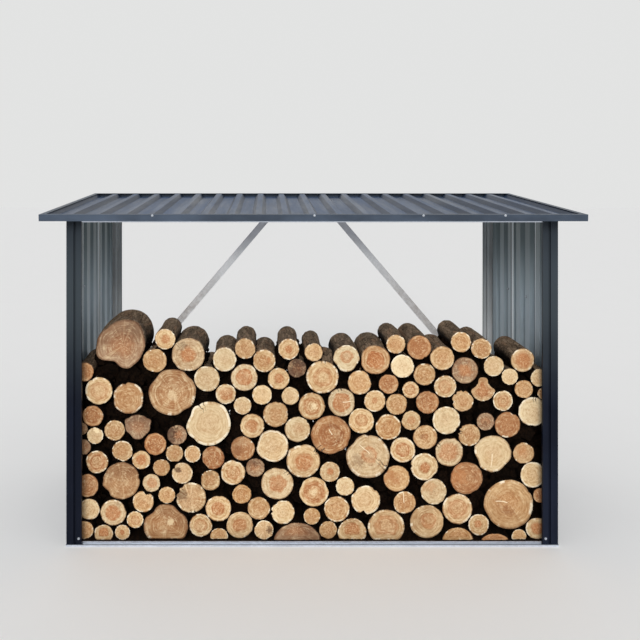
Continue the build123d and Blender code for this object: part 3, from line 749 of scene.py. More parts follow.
# Logs with marks of their own, by course and place in it. dents pull the outline in, or push it
# out where they are negative: direction in degrees, half width, and depth as a share of the
# radius. pith is where the rings start, in shares of the radius from the middle. shade darkens
# one side, split is a pale crack from the pith, and checks are dark cracks from the edge, each
# as direction and size. spot is a patch: direction, distance and size in shares of the radius,
# and how dark, how pale and how orange it is. star makes the heart jagged. Any trait of the
# log's kind can be given anew.
MARKS = {
    (1, 4): {"shade": (60, 0.5), "dents": ((45, 32, 0.14), (140, 32, 0.16), (90, 18, 0.03)),
             "rings": 0.6, "spot": (10, 0.18, 0.12, 0, 0.6, 0), "pith": (0.0, -0.1)},
    (1, 6): {"spot": (0, 0.50, 0.36, 0.9, 0, 0), "dents": ((150, 20, 0.08),), "star": 0.12},
    (1, 7): {"shade": (10, 0.7), "dents": ((150, 18, 0.07),)},
    (1, 8): {"shade": (95, 0.6)},
    (1, 10): {"pith": (0.22, 0.14), "strength": 0.75, "size": 0.46, "shade": (140, 0.35)},
    (2, 1): {"dents": ((200, 16, 0.05), (20, 20, 0.05)), "spot": (55, 0.8, 0.3, 0.3, 0, 0)},
    (2, 5): {"dents": ((178, 9, 0.15), (196, 7, 0.07), (128, 20, 0.09), (58, 14, -0.05),
                       (85, 16, 0.05))},
    (2, 8): {"size": 0.66},
    (2, 9): {"pith": (0.0, 0.12)},
    (3, 2): {"dents": ((72, 26, 0.30), (32, 10, -0.08), (110, 12, -0.03)), "checks": (40, 0.2)},
    (3, 3): {"checks": (280, 0.25), "dents": ((150, 16, 0.12), (176, 10, 0.08), (124, 12, 0.08)),
             "spot": (155, 0.55, 0.34, 0.7, 0, 0)},
    (3, 4): {"size": 0.56, "strength": 0.9},
    (3, 7): {"size": 0.76, "strength": 0.75, "spot": (80, 0.05, 0.2, 0, 0.6, 0),
             "dents": ((150, 20, 0.06), (30, 20, 0.06), (90, 18, -0.02), (5, 10, -0.03))},
    (3, 9): {"split": (95, 0.9)},
    (4, 2): {"shade": (92, 0.6), "rings": 0.5,
             "dents": ((215, 18, 0.10), (190, 10, -0.05), (12, 12, 0.05), (150, 16, 0.04))},
    (4, 4): {"star": 0.12, "size": 0.56, "pith": (0.05, 0.0), "checks": (50, 0.25)},
    (4, 5): {"dents": ((266, 17, 0.24), (138, 26, 0.13), (48, 12, 0.10), (232, 12, -0.04))},
    (4, 6): {"spot": (140, 0.7, 0.5, 0, 0, 0.6)},
    (4, 7): {"split": (172, 0.85), "shade": (235, 0.2), "pith": (-0.02, 0.08),
             "spot": (255, 0.35, 0.26, 0.35, 0, 0.4), "dents": ((215, 26, 0.06),)},
    (5, 3): {"spot": (140, 0.58, 0.30, 0.9, 0, 0), "specks": 0.7, "dents": ((142, 12, 0.12),)},
    (5, 4): {"shade": (200, 0.2), "spot": (95, 0.7, 0.3, 0.3, 0, 0),
             "dents": ((0, 40, 0.10), (180, 40, 0.10))},
    (5, 6): {"shade": (90, 0.6), "spot": (90, 0.3, 0.3, 0.5, 0, 0)},
    (5, 9): {"spot": (170, 0.5, 0.5, 0.15, 0, 0.8), "dents": ((150, 24, 0.12),)},
    (5, 10): {"size": 0.8, "centre": 0.7, "spot": (160, 0.5, 0.5, 0, 0, 0.7),
              "dents": ((300, 24, 0.05),)},
    (6, 1): {"shade": (20, 0.3)},
    (6, 2): {"size": 0.78, "strength": 0.6},
    (6, 5): {"size": 0.84},
    (6, 6): {"shade": (160, 0.35), "spot": (190, 0.4, 0.4, 0.3, 0, 0.3)},
    (6, 7): {"pith": (0.08, -0.16), "strength": 0.95, "size": 0.5, "checks": (48, 0.2),
             "shade": (270, 0.3), "dents": ((137, 12, -0.07), (100, 12, 0.05), (45, 8, 0.10))},
    (6, 8): {"size": 0.34, "pale": 1.0, "pith": (0.05, -0.05),
             "dents": ((175, 8, 0.10), (60, 16, 0.04), (315, 26, 0.06))},
    (6, 9): {"split": (265, 0.95), "rings": 0.25,
             "dents": ((205, 34, 0.14), (158, 14, -0.06), (320, 30, 0.08), (268, 12, -0.04))},
    (7, 1): {"spot": (70, 0.6, 0.3, 0, 0.9, 0)},
    (7, 6): {"pith": (0.10, 0.12), "size": 0.40, "centre": 0.6, "split": (140, 0.95),
             "checks": (318, 0.7), "spot": (215, 0.65, 0.34, 0.4, 0, 0.2),
             "dents": ((148, 22, 0.10), (108, 10, -0.04), (95, 8, 0.04), (70, 9, -0.03))},
    (7, 7): {"size": 0.58, "strength": 0.85},
    (7, 8): {"star": 0.12, "size": 0.6, "softness": 0.15, "checks": (150, 0.3),
             "dents": ((62, 9, -0.06), (85, 16, 0.06), (180, 30, 0.05))},
    (7, 9): {"spot": (130, 0.3, 0.5, 0, 0, 0.5)},
    (8, 3): {"dents": ((90, 40, 0.06), (150, 20, -0.16), (28, 20, -0.18), (222, 36, 0.14),
                       (318, 36, 0.12)), "shade": (95, 0.6), "rings": 0.4},
    (8, 4): {"spot": (178, 0.75, 0.85, 0.85, 0, 0), "pith": (0.15, 0.0), "size": 0.36,
             "strength": 0.8},
    (8, 5): {"checks": (112, 0.42), "rings": 0.3,
             "dents": ((158, 34, 0.12), (120, 12, 0.06), (48, 20, -0.04), (225, 20, 0.05))},
    (8, 6): {"pith": (-0.12, 0.0), "size": 0.5},
    (8, 7): {"pith": (0.12, 0.14), "strength": 0.35, "size": 0.4, "dents": ((35, 14, 0.05),)},
    (8, 8): {"split": (115, 0.45), "checks": (232, 0.3), "star": 0.12, "softness": 0.25,
             "spot": (200, 0.45, 0.5, 0.15, 0, 0.5),
             "dents": ((340, 14, 0.05), (15, 16, -0.03), (290, 24, 0.05))},
    (8, 9): {"strength": 0.7, "size": 0.2, "spot": (175, 0.2, 0.18, 0.4, 0, 0.3)},
    (8, 10): {"checks": (165, 0.35), "dents": ((166, 10, 0.17), (143, 8, 0.08), (186, 7, 0.07))},
    (8, 11): {"size": 0.7, "dents": ((62, 12, 0.07), (215, 30, -0.03))},
    (9, 2): {"dents": ((80, 10, 0.05), (110, 8, 0.05), (10, 9, 0.09), (350, 8, 0.06))},
    (9, 3): {"size": 0.50, "strength": 0.55},
    (9, 5): {"size": 0.42, "strength": 0.6},
    (9, 6): {"rings": 0.25, "dents": ((320, 14, 0.04),)},
    (9, 7): {"spot": (260, 0.2, 0.25, 0.5, 0, 0)},
    (9, 8): {"checks": (82, 0.45), "pale": 1.0, "rings": 0.25},
    (10, 1): {"dents": ((300, 28, 0.10), (140, 28, 0.07), (10, 18, -0.03), (50, 16, 0.04)),
              "spot": (250, 0.12, 0.22, 0, 0.4, 0), "shade": (100, 0.25)},
    (10, 2): {"pith": (0.06, 0.06), "size": 0.62},
    (10, 4): {"size": 0.66, "centre": 0.75, "spot": (0, 0.12, 0.2, 0, 0.7, 0)},
    (10, 5): {"star": 0.10, "size": 0.66, "pale": 1.0, "split": (10, 0.6), "checks": (100, 0.25)},
    (10, 6): {"size": 0.28, "strength": 0.7},
    (11, 1): {"size": 0.66, "pith": (0.08, -0.03), "strength": 0.5, "dents": ((125, 10, 0.08),)},
    (11, 2): {"dents": ((97, 9, 0.10), (180, 34, 0.08), (0, 34, 0.05)), "size": 0.8},
    (11, 6): {"pith": (-0.1, 0.0), "shade": (120, 0.3), "dents": ((60, 20, 0.06),)},
    (11, 7): {"dents": ((42, 40, 0.10), (90, 13, 0.15), (136, 10, 0.14), (188, 16, 0.14))},
    (11, 8): {"dents": ((40, 40, 0.34), (58, 14, 0.10), (18, 14, 0.08), (140, 40, 0.34),
                        (122, 14, 0.10), (162, 14, 0.08), (355, 9, -0.04), (185, 9, -0.04)),
              "pith": (0.0, -0.12), "strength": 0.9, "brown": 0.2, "pale": 0.3, "size": 0.6,
              "softness": 0.2},
    (12, 3): {"pale": 1.0, "size": 0.62, "softness": 0.05,
              "dents": ((60, 16, -0.04), (20, 14, 0.03), (140, 24, 0.06))},
    (12, 4): {"size": 0.42, "pith": (0.08, 0.05)},
    (12, 5): {"checks": (92, 0.25), "centre": 0.9, "size": 0.62, "dents": ((350, 14, 0.05),)},
    (13, 2): {"size": 0.45, "softness": 0.2, "specks": 0.2, "grey": 0.3, "pale": 0.7,
              "spot": (128, 0.62, 0.26, 0.5, 0, 0), "dents": ((50, 20, -0.03), (265, 20, 0.03))},
    (13, 3): {"spot": (20, 0.4, 0.25, 0, 0, 0.7)},
    # Painted shade: this log's end is darkened all over, as it lies in a dark gap
    (13, 4): {"shade": (90, 0.9), "spot": (90, 0.0, 1.2, 0.8, 0, 0)},
    (13, 5): {"size": 0.60, "strength": 0.95, "brown": 0.3, "softness": 0.05},
    (13, 6): {"pale": 1.1, "rings": 0.3},
    (13, 8): {"strength": 0.8, "size": 0.4, "shade": (110, 0.3), "spot": (0, 0, 0.5, 0, 0, 0.4)},
    (13, 9): {"softness": 0.25, "size": 0.7, "dents": ((325, 10, 0.06), (0, 10, 0.05))},
    (14, 1): {"dents": ((58, 38, -0.09), (201, 28, -0.12), (242, 34, 0.22), (286, 16, -0.06),
                        (128, 40, 0.10), (335, 30, 0.04)), "pith": (0.08, -0.05), "rings": 0.45,
              "shade": (110, 0.55), "spot": (45, 0.75, 0.5, 0.3, 0, 0)},
    (14, 2): {"size": 0.45, "strength": 0.9},
    (14, 3): {"rings": 0.3, "pale": 0.9},
    (14, 5): {"size": 0.40, "strength": 0.8, "dents": ((45, 16, -0.04), (225, 20, 0.05))},
    (14, 7): {"pale": 1.1, "pith": (0.0, 0.26), "size": 0.50, "centre": 0.5, "strength": 0.75,
              "softness": 0.05, "dents": ((225, 28, 0.10), (315, 28, 0.08))},
    (14, 9): {"shade": (180, 0.2), "spot": (170, 0.4, 0.5, 0.1, 0, 0.5),
              "dents": ((298, 8, 0.08),)},
}


# What a log's finish reads at each of its points, besides where the point is
LOOK_KEYS = ("sap", "heart", "marks", "traits", "chances", "edges", "shade", "split", "checks",
             "patch", "patch_tones")


def add_log(outline, front, rear, look, draws, made, bark, wall, others):
    """Adds one log's points, faces and kept values to the course that is being made. wall is
    how far from the middle of the store the walls let it reach, and others are all logs."""
    *middle, half = measures(outline)
    pith = (middle[0] + look["pith"][0] * half, middle[1] + look["pith"][1] * half)
    outer = spokes(rounded(outline), pith, SPOKES)
    mean = sum(outer) / SPOKES
    points, faces, kinds = made["points"], made["faces"], made["kinds"]

    # Chance, drawn in a fixed order: small waves of its outline, a seed for its finish, its bend
    waves = [(draws.randint(*WAVE_BEATS), draws.uniform(0, TAU), draws.uniform(*WAVE_HEIGHTS))
             for wave in range(WAVES)]
    own = draws.uniform(0, 50)
    length = rear - front
    bend = look["crook"] * half
    turn = draws.uniform(0, TAU)
    aside, lift = bend * math.cos(turn), bend * math.sin(turn)
    if abs(middle[0]) + half > wall - NEAR_WALL:
        aside = -math.copysign(abs(aside), middle[0])
    if min(z for x, z in outline) < NEAR_GROUND:
        lift = abs(lift)

    def crook(depth):
        """How far the log's axis has bent away, between two straight ends."""
        share = math.sin(math.pi * min(1.0, max(0.0, (depth - front) / length))) ** 2
        return aside * share, lift * share

    def dent(index, depth):
        """The share of the radius that is left at a spoke, the less dented the further back."""
        angle = 360 * index / SPOKES
        left = 1.0
        for way, spread, size in look["dents"]:
            off = abs((angle - way + 180) % 360 - 180) / spread
            if off < 1:
                fade = max(0.0, 1 - (depth - front) / DENT_REACH)
                left -= size * fade * (1 + math.cos(math.pi * off)) / 2
        return left

    way, off, size, *tones = look["spot"]
    look["patch"] = (off * half * math.cos(math.radians(way)),
                     off * half * math.sin(math.radians(way)), size * half)
    look["patch_tones"] = tones

    # How far back each spoke's bark lies under a log above it
    covered_to = []
    for index in range(SPOKES):
        x = pith[0] + outer[index] * math.cos(TAU * index / SPOKES)
        covered_to.append(max((end for mx, mz, r, end in others
                               if abs(mx - x) < r and mz > middle[1] + 0.3 * half), default=front))

    # Painted sky light on the bark: more where it faces up, none under other logs
    def open_to_sky(index, depth):
        """How far the bark at a spoke faces the sky, or nothing under logs that lie over it."""
        facing = max(0.0, math.sin(TAU * index / SPOKES) + 0.1)
        return facing if depth > covered_to[index] + 0.004 or covered_to[index] == front else 0.0

    def put(x, y, z, rim, sky_light=0.0):
        """Adds a point and all that is kept for it, and gives its number."""
        points.append((min(wall, max(-wall, x)), y, max(GROUND, z)))
        made["open"].append(sky_light)
        made["rim"].append(rim)
        made["growth"].append(rim * mean)
        made["end_place"].append((x - pith[0], z - pith[1], own))
        for key in LOOK_KEYS:
            made[key].append(look[key])
        return len(points) - 1

    def ring(depth, inset, share, rim, dips):
        """A ring of points at a depth, within the bark's surface by an inset and dips."""
        row = []
        bent = crook(depth)
        for index in range(SPOKES):
            angle = TAU * index / SPOKES
            reach = max(0.002, outer[index] * dent(index, depth) - inset - dips[index]) * share
            x, z = reach * math.cos(angle), reach * math.sin(angle)
            slant = look["tilt"][0] * x + look["tilt"][1] * z
            row.append(put(pith[0] + bent[0] + x, depth + slant, pith[1] + bent[1] + z, rim,
                           open_to_sky(index, depth)))
        return row

    def join(first, second, kind):
        """Faces of wood or bark between two rings."""
        for index in range(SPOKES):
            after = (index + 1) % SPOKES
            faces.append((first[index], first[after], second[after], second[index]))
            kinds.append(kind)

    def cap(row, depth, flip):
        """Closes the last ring of an end at the pith."""
        centre = put(pith[0], depth, pith[1], 0.0)
        for index in range(SPOKES):
            pair = [row[index], row[(index + 1) % SPOKES]]
            faces.append((*(reversed(pair) if flip else pair), centre))
            kinds.append(WOOD)

    steps = []
    for index in range(SPOKES):
        angle = TAU * index / SPOKES
        dip = sum(size * math.sin(angle * beat + phase) / 2 for beat, phase, size in waves)
        steps.append(dip + draws.uniform(0, 0.0003))

    # The barked side, from end to end
    tilt = max(abs(look["tilt"][0]), abs(look["tilt"][1])) * mean * 2
    near = front + tilt + 0.0005
    far = rear - tilt - 0.0005
    rows = []
    for station in range(STATIONS):
        share = station / (STATIONS - 1)
        depth = near + BARK_EDGE + (far - near - 2 * BARK_EDGE) * share
        dips = [step + 0.001 * (1 + math.sin(share * 5 + index * 0.21 + own)) / 2
                for index, step in enumerate(steps)]
        rows.append(ring(depth, 0.0, 1.0, 1.0, dips))
    for first, second in zip(rows, rows[1:]):
        join(second, first, BARK)

    # Each end: the bark's edge, its thickness, and the sawn wood in rings down to the pith
    step = bark * look["bark"]
    for side, row, flip in ((near, rows[0], True), (far, rows[-1], False)):
        back = LIP if flip else -LIP
        lip = ring(side + back, 0.0005, 1.0, 1.0, steps)
        inner_bark = ring(side + 2 * back, step * 0.92, 1.0, 1.0, steps)
        wood = ring(side, step, 1.0, 1.0, steps)
        chain = [row, lip, inner_bark, wood]
        for first, second in zip(chain, chain[1:]):
            join(first if flip else second, second if flip else first, BARK)
        last = wood
        for share in END_RINGS[1:] if flip else END_RINGS[2::2]:
            following = ring(side, step, share, share, steps)
            join(last if flip else following, following if flip else last, WOOD)
            last = following
        cap(last, side, not flip)


def log_look(course, place, looks, draws):
    """How one log looks: its kind, its own marks, and a little chance."""
    letters = COURSE_KINDS[(course - 1) % len(COURSE_KINDS)]
    kind = KINDS[letters[(place - 1) % len(letters)]]
    marks = MARKS.get((course, place), {})
    trait = {key: marks.get(key, value) for key, value in zip(TRAITS, kind)}
    drift = draws.uniform
    sap = blend(looks.sap_colour, looks.pale_colour, trait["pale"] + drift(-0.15, 0.15))
    sap = blend(sap, looks.heart_colour, trait["brown"] + drift(0, 0.08))
    sap = blend(sap, looks.weathered_colour, trait["grey"] + drift(0, 0.10))
    sap = shaded(sap, drift(0.79, 0.985))
    heart = blend(sap, looks.heart_colour, min(1.0, trait["strength"] * drift(0.85, 1.1)))
    if trait["brown"] > 0.4:
        heart = shaded(heart, 0.86)
    off = drift(0.02, 0.10)
    way = drift(0, TAU)

    def line(name):
        """A direction in degrees and a size, as the numbers that the finish reads."""
        turn, size = marks.get(name, (0, 0))
        return (math.cos(math.radians(turn)), math.sin(math.radians(turn)), size)

    split = line("split")
    plain = min(1.0, 1.4 * (trait["brown"] + trait["grey"]))
    return {
        "sap": (*sap, 1.0),
        "heart": (*heart, 1.0),
        "marks": (trait["size"] * drift(0.93, 1.07), trait["softness"] * drift(0.8, 1.3),
                  trait["rings"] * drift(0.6, 1.15)),
        "traits": (trait["centre"], trait["rays"] * drift(0.6, 1.3), trait["specks"]),
        "chances": (drift(0, TAU), marks.get("star", drift(0, 0.02)), drift(0, 1)),
        "edges": (drift(0, 0.5) - plain * 0.7, drift(0, 0.6) + plain * 0.5, drift(-0.6, 0.7)),
        "shade": line("shade"),
        "split": (split[0], split[1], split[2] * 0.07),
        "checks": line("checks"),
        "spot": marks.get("spot", (0, 0, 0, 0, 0, 0)),
        "dents": marks.get("dents", tuple(
            (drift(0, 360), drift(18, 55), drift(-0.03, 0.06)) for dent in range(3))),
        "pith": marks.get("pith", (off * math.cos(way), off * math.sin(way))),
        "bark": drift(0.7, 1.5),
        "tilt": (drift(-0.03, 0.03), drift(-0.03, 0.03)),
        "crook": looks.crookedness * (drift(0.6, 1.3) if course < SHORT_COURSES_FROM else 0.3),
    }


# Screws

HEAD_POINTS = 24        # points in each ring of a screw
HEXAGON = 0.577         # a hexagon's corner from its middle, as a share of its width
SUNK = 0.0006           # how far a washer's foot is set into the sheet
ROOF_PITCH = 3.9        # degrees
TRIM_SCREWS_ACROSS = (-0.718, 0.005, 0.491, 0.856)
FASCIA_SCREW_DOWN = 0.006
TRIM_SCREW_UP = 0.017
POST_SCREW_IN = 0.012
POST_SCREW_UP = 0.036
WALL_SCREW_IN = 0.032
WALL_SCREWS_UP = (0.30, 0.70, 1.10, 1.42)
INNER_SCREWS = {        # places on the inside of a wall, as depth and height
    "left": ((-0.194, 1.155),),
    "right": ((-0.090, 1.084), (0.159, 1.081)),
}


def screw_ring(sides, radius, height):
    """Points along the sides of a polygon, at one height of a screw's head."""
    corners = [(radius * math.cos(TAU * i / sides), radius * math.sin(TAU * i / sides))
               for i in range(sides)]
    each = HEAD_POINTS // sides
    ring = []
    for i in range(HEAD_POINTS):
        x0, y0 = corners[i // each]
        x1, y1 = corners[(i // each + 1) % sides]
        share = (i % each) / each
        ring.append(Vector((x0 + (x1 - x0) * share, y0 + (y1 - y0) * share, height)))
    return ring


def screw_rings(head):
    """A washer, a flange and a hexagonal head, from the sheet outwards."""
    return [screw_ring(*ring) for ring in (
        (HEAD_POINTS, head * 0.95, 0.0), (HEAD_POINTS, head * 0.95, 0.0010),
        (HEAD_POINTS, head * 0.80, 0.0014), (HEAD_POINTS, head * 0.80, 0.0022),
        (6, head * HEXAGON, 0.0024), (6, head * HEXAGON, 0.0058), (6, head * 0.50, 0.0064),
    )]


def add_screws(name, places, head, materials):
    """One piece with a screw at each place, given as (position, direction)."""
    draws = random.Random(len(places) * 7 + len(name))
    rings = screw_rings(head)
    top = Vector((0, 0, rings[-1][0].z))
    points, faces, kinds = [], [], []
    for place, way in places:
        basis = Vector(way).normalized().to_track_quat("Z", "Y").to_matrix().to_4x4()
        turned = Matrix.Rotation(draws.uniform(0, TAU), 4, "Z")
        here = Matrix.Translation(place) @ basis @ turned
        low = len(points)
        points += [tuple(here @ point) for ring in rings for point in ring]
        points.append(tuple(here @ top))
        for level in range(len(rings) - 1):
            high = low + HEAD_POINTS
            for i in range(HEAD_POINTS):
                j = (i + 1) % HEAD_POINTS
                faces.append((low + i, low + j, high + j, high + i))
                kinds.append(1 if level < 2 else 0)
            low = high
        for i in range(HEAD_POINTS):
            faces.append((low + i, low + (i + 1) % HEAD_POINTS, len(points) - 1))
            kinds.append(0)
    piece = new_piece(name, points, faces, materials, kinds, smooth=False)
    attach(piece, "root")
    return piece


# Operators

class LOGSTORE_OT_roof(bpy.types.Operator):
    """Coats the roof sheets and their trims"""
    bl_idname = "logstore.roof"
    bl_label = "Roof and trims"

    def execute(self, context):
        looks = context.scene.log_store_steel
        roof = lined_sheet(
            "roof_coating", looks.roof_colour, looks.lining_colour, facing_up, (1, 0.06, 1), 0.36)
        trims = coated_steel("trim_coating", looks.trim_colour, (0.25, 1, 1), 0.40)
        wear(named("roof_sheet"), roof)
        wear(["fascia_front", "trim_rear", "trim_left", "trim_right"], trims)
        return {"FINISHED"}


class LOGSTORE_OT_posts(bpy.types.Operator):
    """Coats the four corner posts"""
    bl_idname = "logstore.posts"
    bl_label = "Corner posts"

    def execute(self, context):
        looks = context.scene.log_store_steel
        # Painted light: the posts' inner coat is the walls' lining coat made half white
        reverse = blend(looks.lining_colour, WHITE, 0.5)
        wear(named("post_"), coated_steel(
            "post_coating", looks.post_colour, (1, 1, 0.05), 0.42, paler_upwards=0.55, reverse=reverse,
            shine=0.08))
        return {"FINISHED"}


class LOGSTORE_OT_walls(bpy.types.Operator):
    """Coats the wall sheets, dark outside and pale inside"""
    bl_idname = "logstore.walls"
    bl_label = "Side walls"

    def execute(self, context):
        looks = context.scene.log_store_steel
        wall = lined_sheet(
            "wall_coating", looks.wall_colour, looks.lining_colour, facing_out, (1, 1, 0.05),
            0.42, shaded_below=0.74,
            seams=[corner.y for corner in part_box("wall_right_middle_sheet")])
        wear(named("wall_"), wall)
        return {"FINISHED"}


class LOGSTORE_OT_zinc(bpy.types.Operator):
    """Galvanises the floor track, headers, top rails and braces"""
    bl_idname = "logstore.zinc"
    bl_label = "Galvanised parts"

    def execute(self, context):
        looks = context.scene.log_store_steel
        outer = (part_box("floor_rail_right")[1].x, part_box("floor_rail_front")[0].y,
                 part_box("floor_rail_rear")[1].y)
        wear(named("floor_rail", "header", "top_rail"),
             galvanised_steel("zinc", looks.zinc_colour, looks.spangle, outer))
        # Painted light: a paler copy of the zinc for the braces, with painted roof shade from 1.18 m
        # up
        painted_lit_zinc = blend(looks.zinc_colour, WHITE, 0.6)
        wear(named("brace"),
             galvanised_steel("brace_zinc_painted_light", painted_lit_zinc, looks.spangle, outer, roof_shade_from=1.18))
        return {"FINISHED"}


class LOGSTORE_OT_screws(bpy.types.Operator):
    """Adds the self-drilling screws of the fascia, walls and posts"""
    bl_idname = "logstore.screws"
    bl_label = "Screws"

    def execute(self, context):
        looks = context.scene.log_store_steel
        metal = screw_steel("screw_zinc", from_screen(192, 198, 208))
        rubber = washer_rubber("sealing_washer")

        # Square to the fascia and to the rear trim, which lean with the roof
        slope = math.radians(ROOF_PITCH)
        ahead = Vector((0, -math.cos(slope), -math.sin(slope)))
        front = Vector((0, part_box("fascia_front")[0].y + SUNK,
                        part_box("fascia_front")[1].z - FASCIA_SCREW_DOWN))
        rear = Vector((0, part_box("trim_rear")[1].y - SUNK,
                       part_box("trim_rear")[0].z + TRIM_SCREW_UP))
        screws = {
            "fascia_screws": [(front + Vector((x, 0, 0)), ahead) for x in TRIM_SCREWS_ACROSS],
            "rear_trim_screws": [(rear + Vector((x, 0, 0)), -ahead) for x in TRIM_SCREWS_ACROSS],
        }

        # One at the foot of each post, through the track
        feet = []
        for name in named("post_"):
            low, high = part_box(name)
            side = 1 if low.x > 0 else -1
            inner = min(abs(low.x), abs(high.x))
            ahead = -1 if low.y < 0 else 1
            front = low.y if ahead < 0 else high.y
            place = Vector((side * (inner + POST_SCREW_IN), front, POST_SCREW_UP))
            feet.append((place, (0, ahead, 0)))
        screws["post_screws"] = feet

        # Down the walls' laps outside, and the few points that show inside
        laps = []
        for side in (-1, 1):
            hand = "left" if side < 0 else "right"
            low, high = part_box(f"wall_{hand}_middle_sheet")
            outer = max(abs(corner.x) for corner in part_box(f"wall_{hand}_front_sheet"))
            inner = min(abs(low.x), abs(high.x))
            for lap in (low.y + WALL_SCREW_IN, high.y - WALL_SCREW_IN):
                for up in WALL_SCREWS_UP:
                    laps.append((Vector((side * outer, lap, up)), (side, 0, 0)))
            for depth, up in INNER_SCREWS[hand]:
                laps.append((Vector((side * (inner + SUNK), depth, up)), (-side, 0, 0)))
        screws["wall_screws"] = laps
        for name, places in screws.items():
            add_screws(name, places, looks.screw_head, (metal, rubber))
        return {"FINISHED"}


class LOGSTORE_OT_logs(bpy.types.Operator):
    """Builds the stack of logs, each course one piece in place of its solids"""
    bl_idname = "logstore.logs"
    bl_label = "Stack of logs"

    def execute(self, context):
        looks = context.scene.log_store_logs
        wood = end_grain("end_grain", looks)
        bark = log_bark("bark", looks.bark_colour, looks.bark_shade_level)
        draws = random.Random(looks.seed)
        wall = inner_wall()
        courses = log_courses()
        others = [(*measures(outline), rear) for course in courses.values()
                  for outline, front, rear in course]
        kept = {"rim": "FLOAT", "growth": "FLOAT", "open": "FLOAT", "end_place": "FLOAT_VECTOR"}
        for key in LOOK_KEYS:
            kept[key] = "FLOAT_COLOR" if key in ("sap", "heart") else "FLOAT_VECTOR"
        for number, (name, course) in enumerate(courses.items(), 1):
            made = {key: [] for key in ("points", "faces", "kinds", *kept)}
            for place, (outline, front, rear) in enumerate(course, 1):
                look = log_look(number, place, looks, draws)
                add_log(outline, front, rear, look, draws, made, looks.bark_thickness, wall,
                        others)
            piece = new_piece(f"logs_{number:02d}", made["points"], made["faces"],
                              (wood, bark), made["kinds"])
            for key, kind in kept.items():
                keep(piece, key, kind, made[key])
            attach(piece, "root")
            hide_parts(name)
        return {"FINISHED"}


CRUMB_COLUMNS = 160                 # of the layer of crumbs on the ground
CRUMB_ROWS = 34
LAYER_HEIGHTS = (0.0006, 0.0022)
CRUMBS = 1500                       # that stand out of it
CRUMB_SIZES = (0.003, 0.011)
CRUMB_HEIGHTS = (0.001, 0.003)


def chip_faces(start, sides, foot):
    """The faces of a chip whose lower and upper corners follow from a point on, with its foot
    or without."""
    faces = []
    for corner in range(sides):
        after = (corner + 1) % sides
        faces.append((start + corner, start + after, start + sides + after,
                      start + sides + corner))
    if foot:
        faces.append(tuple(range(start + sides - 1, start - 1, -1)))
    faces.append(tuple(range(start + sides, start + 2 * sides)))
    return faces


class LOGSTORE_OT_crumbs(bpy.types.Operator):
    """Spreads crumbs of bark over the ground between the lowest logs"""
    bl_idname = "logstore.crumbs"
    bl_label = "Bark crumbs"

    def execute(self, context):
        looks = context.scene.log_store_logs
        draws = random.Random(looks.seed + 1)
        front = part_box("floor_rail_front")[1].y + 0.002
        side = inner_wall() - 0.003
        back = max(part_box(name)[1].y for name in named("log_course")) - 0.03
        columns, rows = CRUMB_COLUMNS, CRUMB_ROWS
        points, faces = [], []

        # A thin uneven layer
        for row in range(rows + 1):
            for column in range(columns + 1):
                x = -side + 2 * side * column / columns
                y = front + (back - front) * row / rows
                if row == rows:
                    y += draws.uniform(-0.03, 0.02)
                thick = 0.0004 if row in (0, rows) else draws.uniform(*LAYER_HEIGHTS)
                points.append((x, y, thick))
        for row in range(rows):
            for column in range(columns):
                one = row * (columns + 1) + column
                faces.append((one, one + 1, one + columns + 2, one + columns + 1))

        # Crumbs that stand out of it, more of them towards the front
        for crumb in range(CRUMBS):
            x = draws.uniform(-side + 0.02, side - 0.02)
            y = front + 0.012 + (back - front - 0.01) * draws.random() ** 1.2
            size = draws.uniform(*CRUMB_SIZES)
            turn = draws.uniform(0, TAU)
            thick = draws.uniform(*CRUMB_HEIGHTS)
            sides = draws.randint(4, 6)
            start = len(points)
            for level, share in ((0.0006, 1.0), (0.0012 + thick, 0.72)):
                for corner in range(sides):
                    angle = turn + TAU * corner / sides
                    reach = size * share * draws.uniform(0.7, 1.0)
                    points.append(
                        (x + reach * math.cos(angle) * 1.6, y + reach * math.sin(angle), level))
            faces += chip_faces(start, sides, foot=False)
        # Painted shade: the crumbs take the bark's shaded tone, half as bright again
        crumbs = log_bark("bark_crumbs", looks.bark_colour, looks.bark_shade_level * 1.5)
        piece = new_piece("bark_crumbs", points, faces, (crumbs,), smooth=False)
        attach(piece, "root")
        return {"FINISHED"}


GAP_STEP = 0.006                    # of the search for gaps between logs
GAP_ROOM = (0.0004, 0.06)           # least and most room around a gap's middle
FLAKE_LAYERS = ((0.05, 0.10), (0.11, 0.16), (0.17, 0.22))   # nearest and deepest, from the front
FLAKE_OVERLAP = (0.005, 0.010)      # how far a flake reaches past its gap
FLAKE_THICKNESS = (0.0012, 0.003)
FLAKE_LEAN = 0.7                    # most that it leans, as a slope
FLAKE_CURL = 0.3


def gap_places(logs, side):
    """Middles of the gaps between logs, each with how wide the gap is there. logs are given as
    middle across, middle up and radius."""
    cells = []
    for column in range(int(2 * side / GAP_STEP)):
        x = -side + GAP_STEP * (column + 0.5)
        over = max((z for mx, z, r in logs if abs(mx - x) < r), default=0.0)
        near = [log for log in logs if abs(log[0] - x) < log[2] + 0.07]
        for row in range(int(over / GAP_STEP)):
            z = GAP_STEP * (row + 0.5)
            room = min(math.hypot(x - mx, z - mz) - r for mx, mz, r in near)
            if GAP_ROOM[0] < room < GAP_ROOM[1]:
                cells.append((room, x, z))
    places = []
    for room, x, z in sorted(cells, reverse=True):
        if all(math.hypot(x - px, z - pz) > 0.7 * other + 0.006 for other, px, pz in places):
            places.append((room, x, z))
    return places


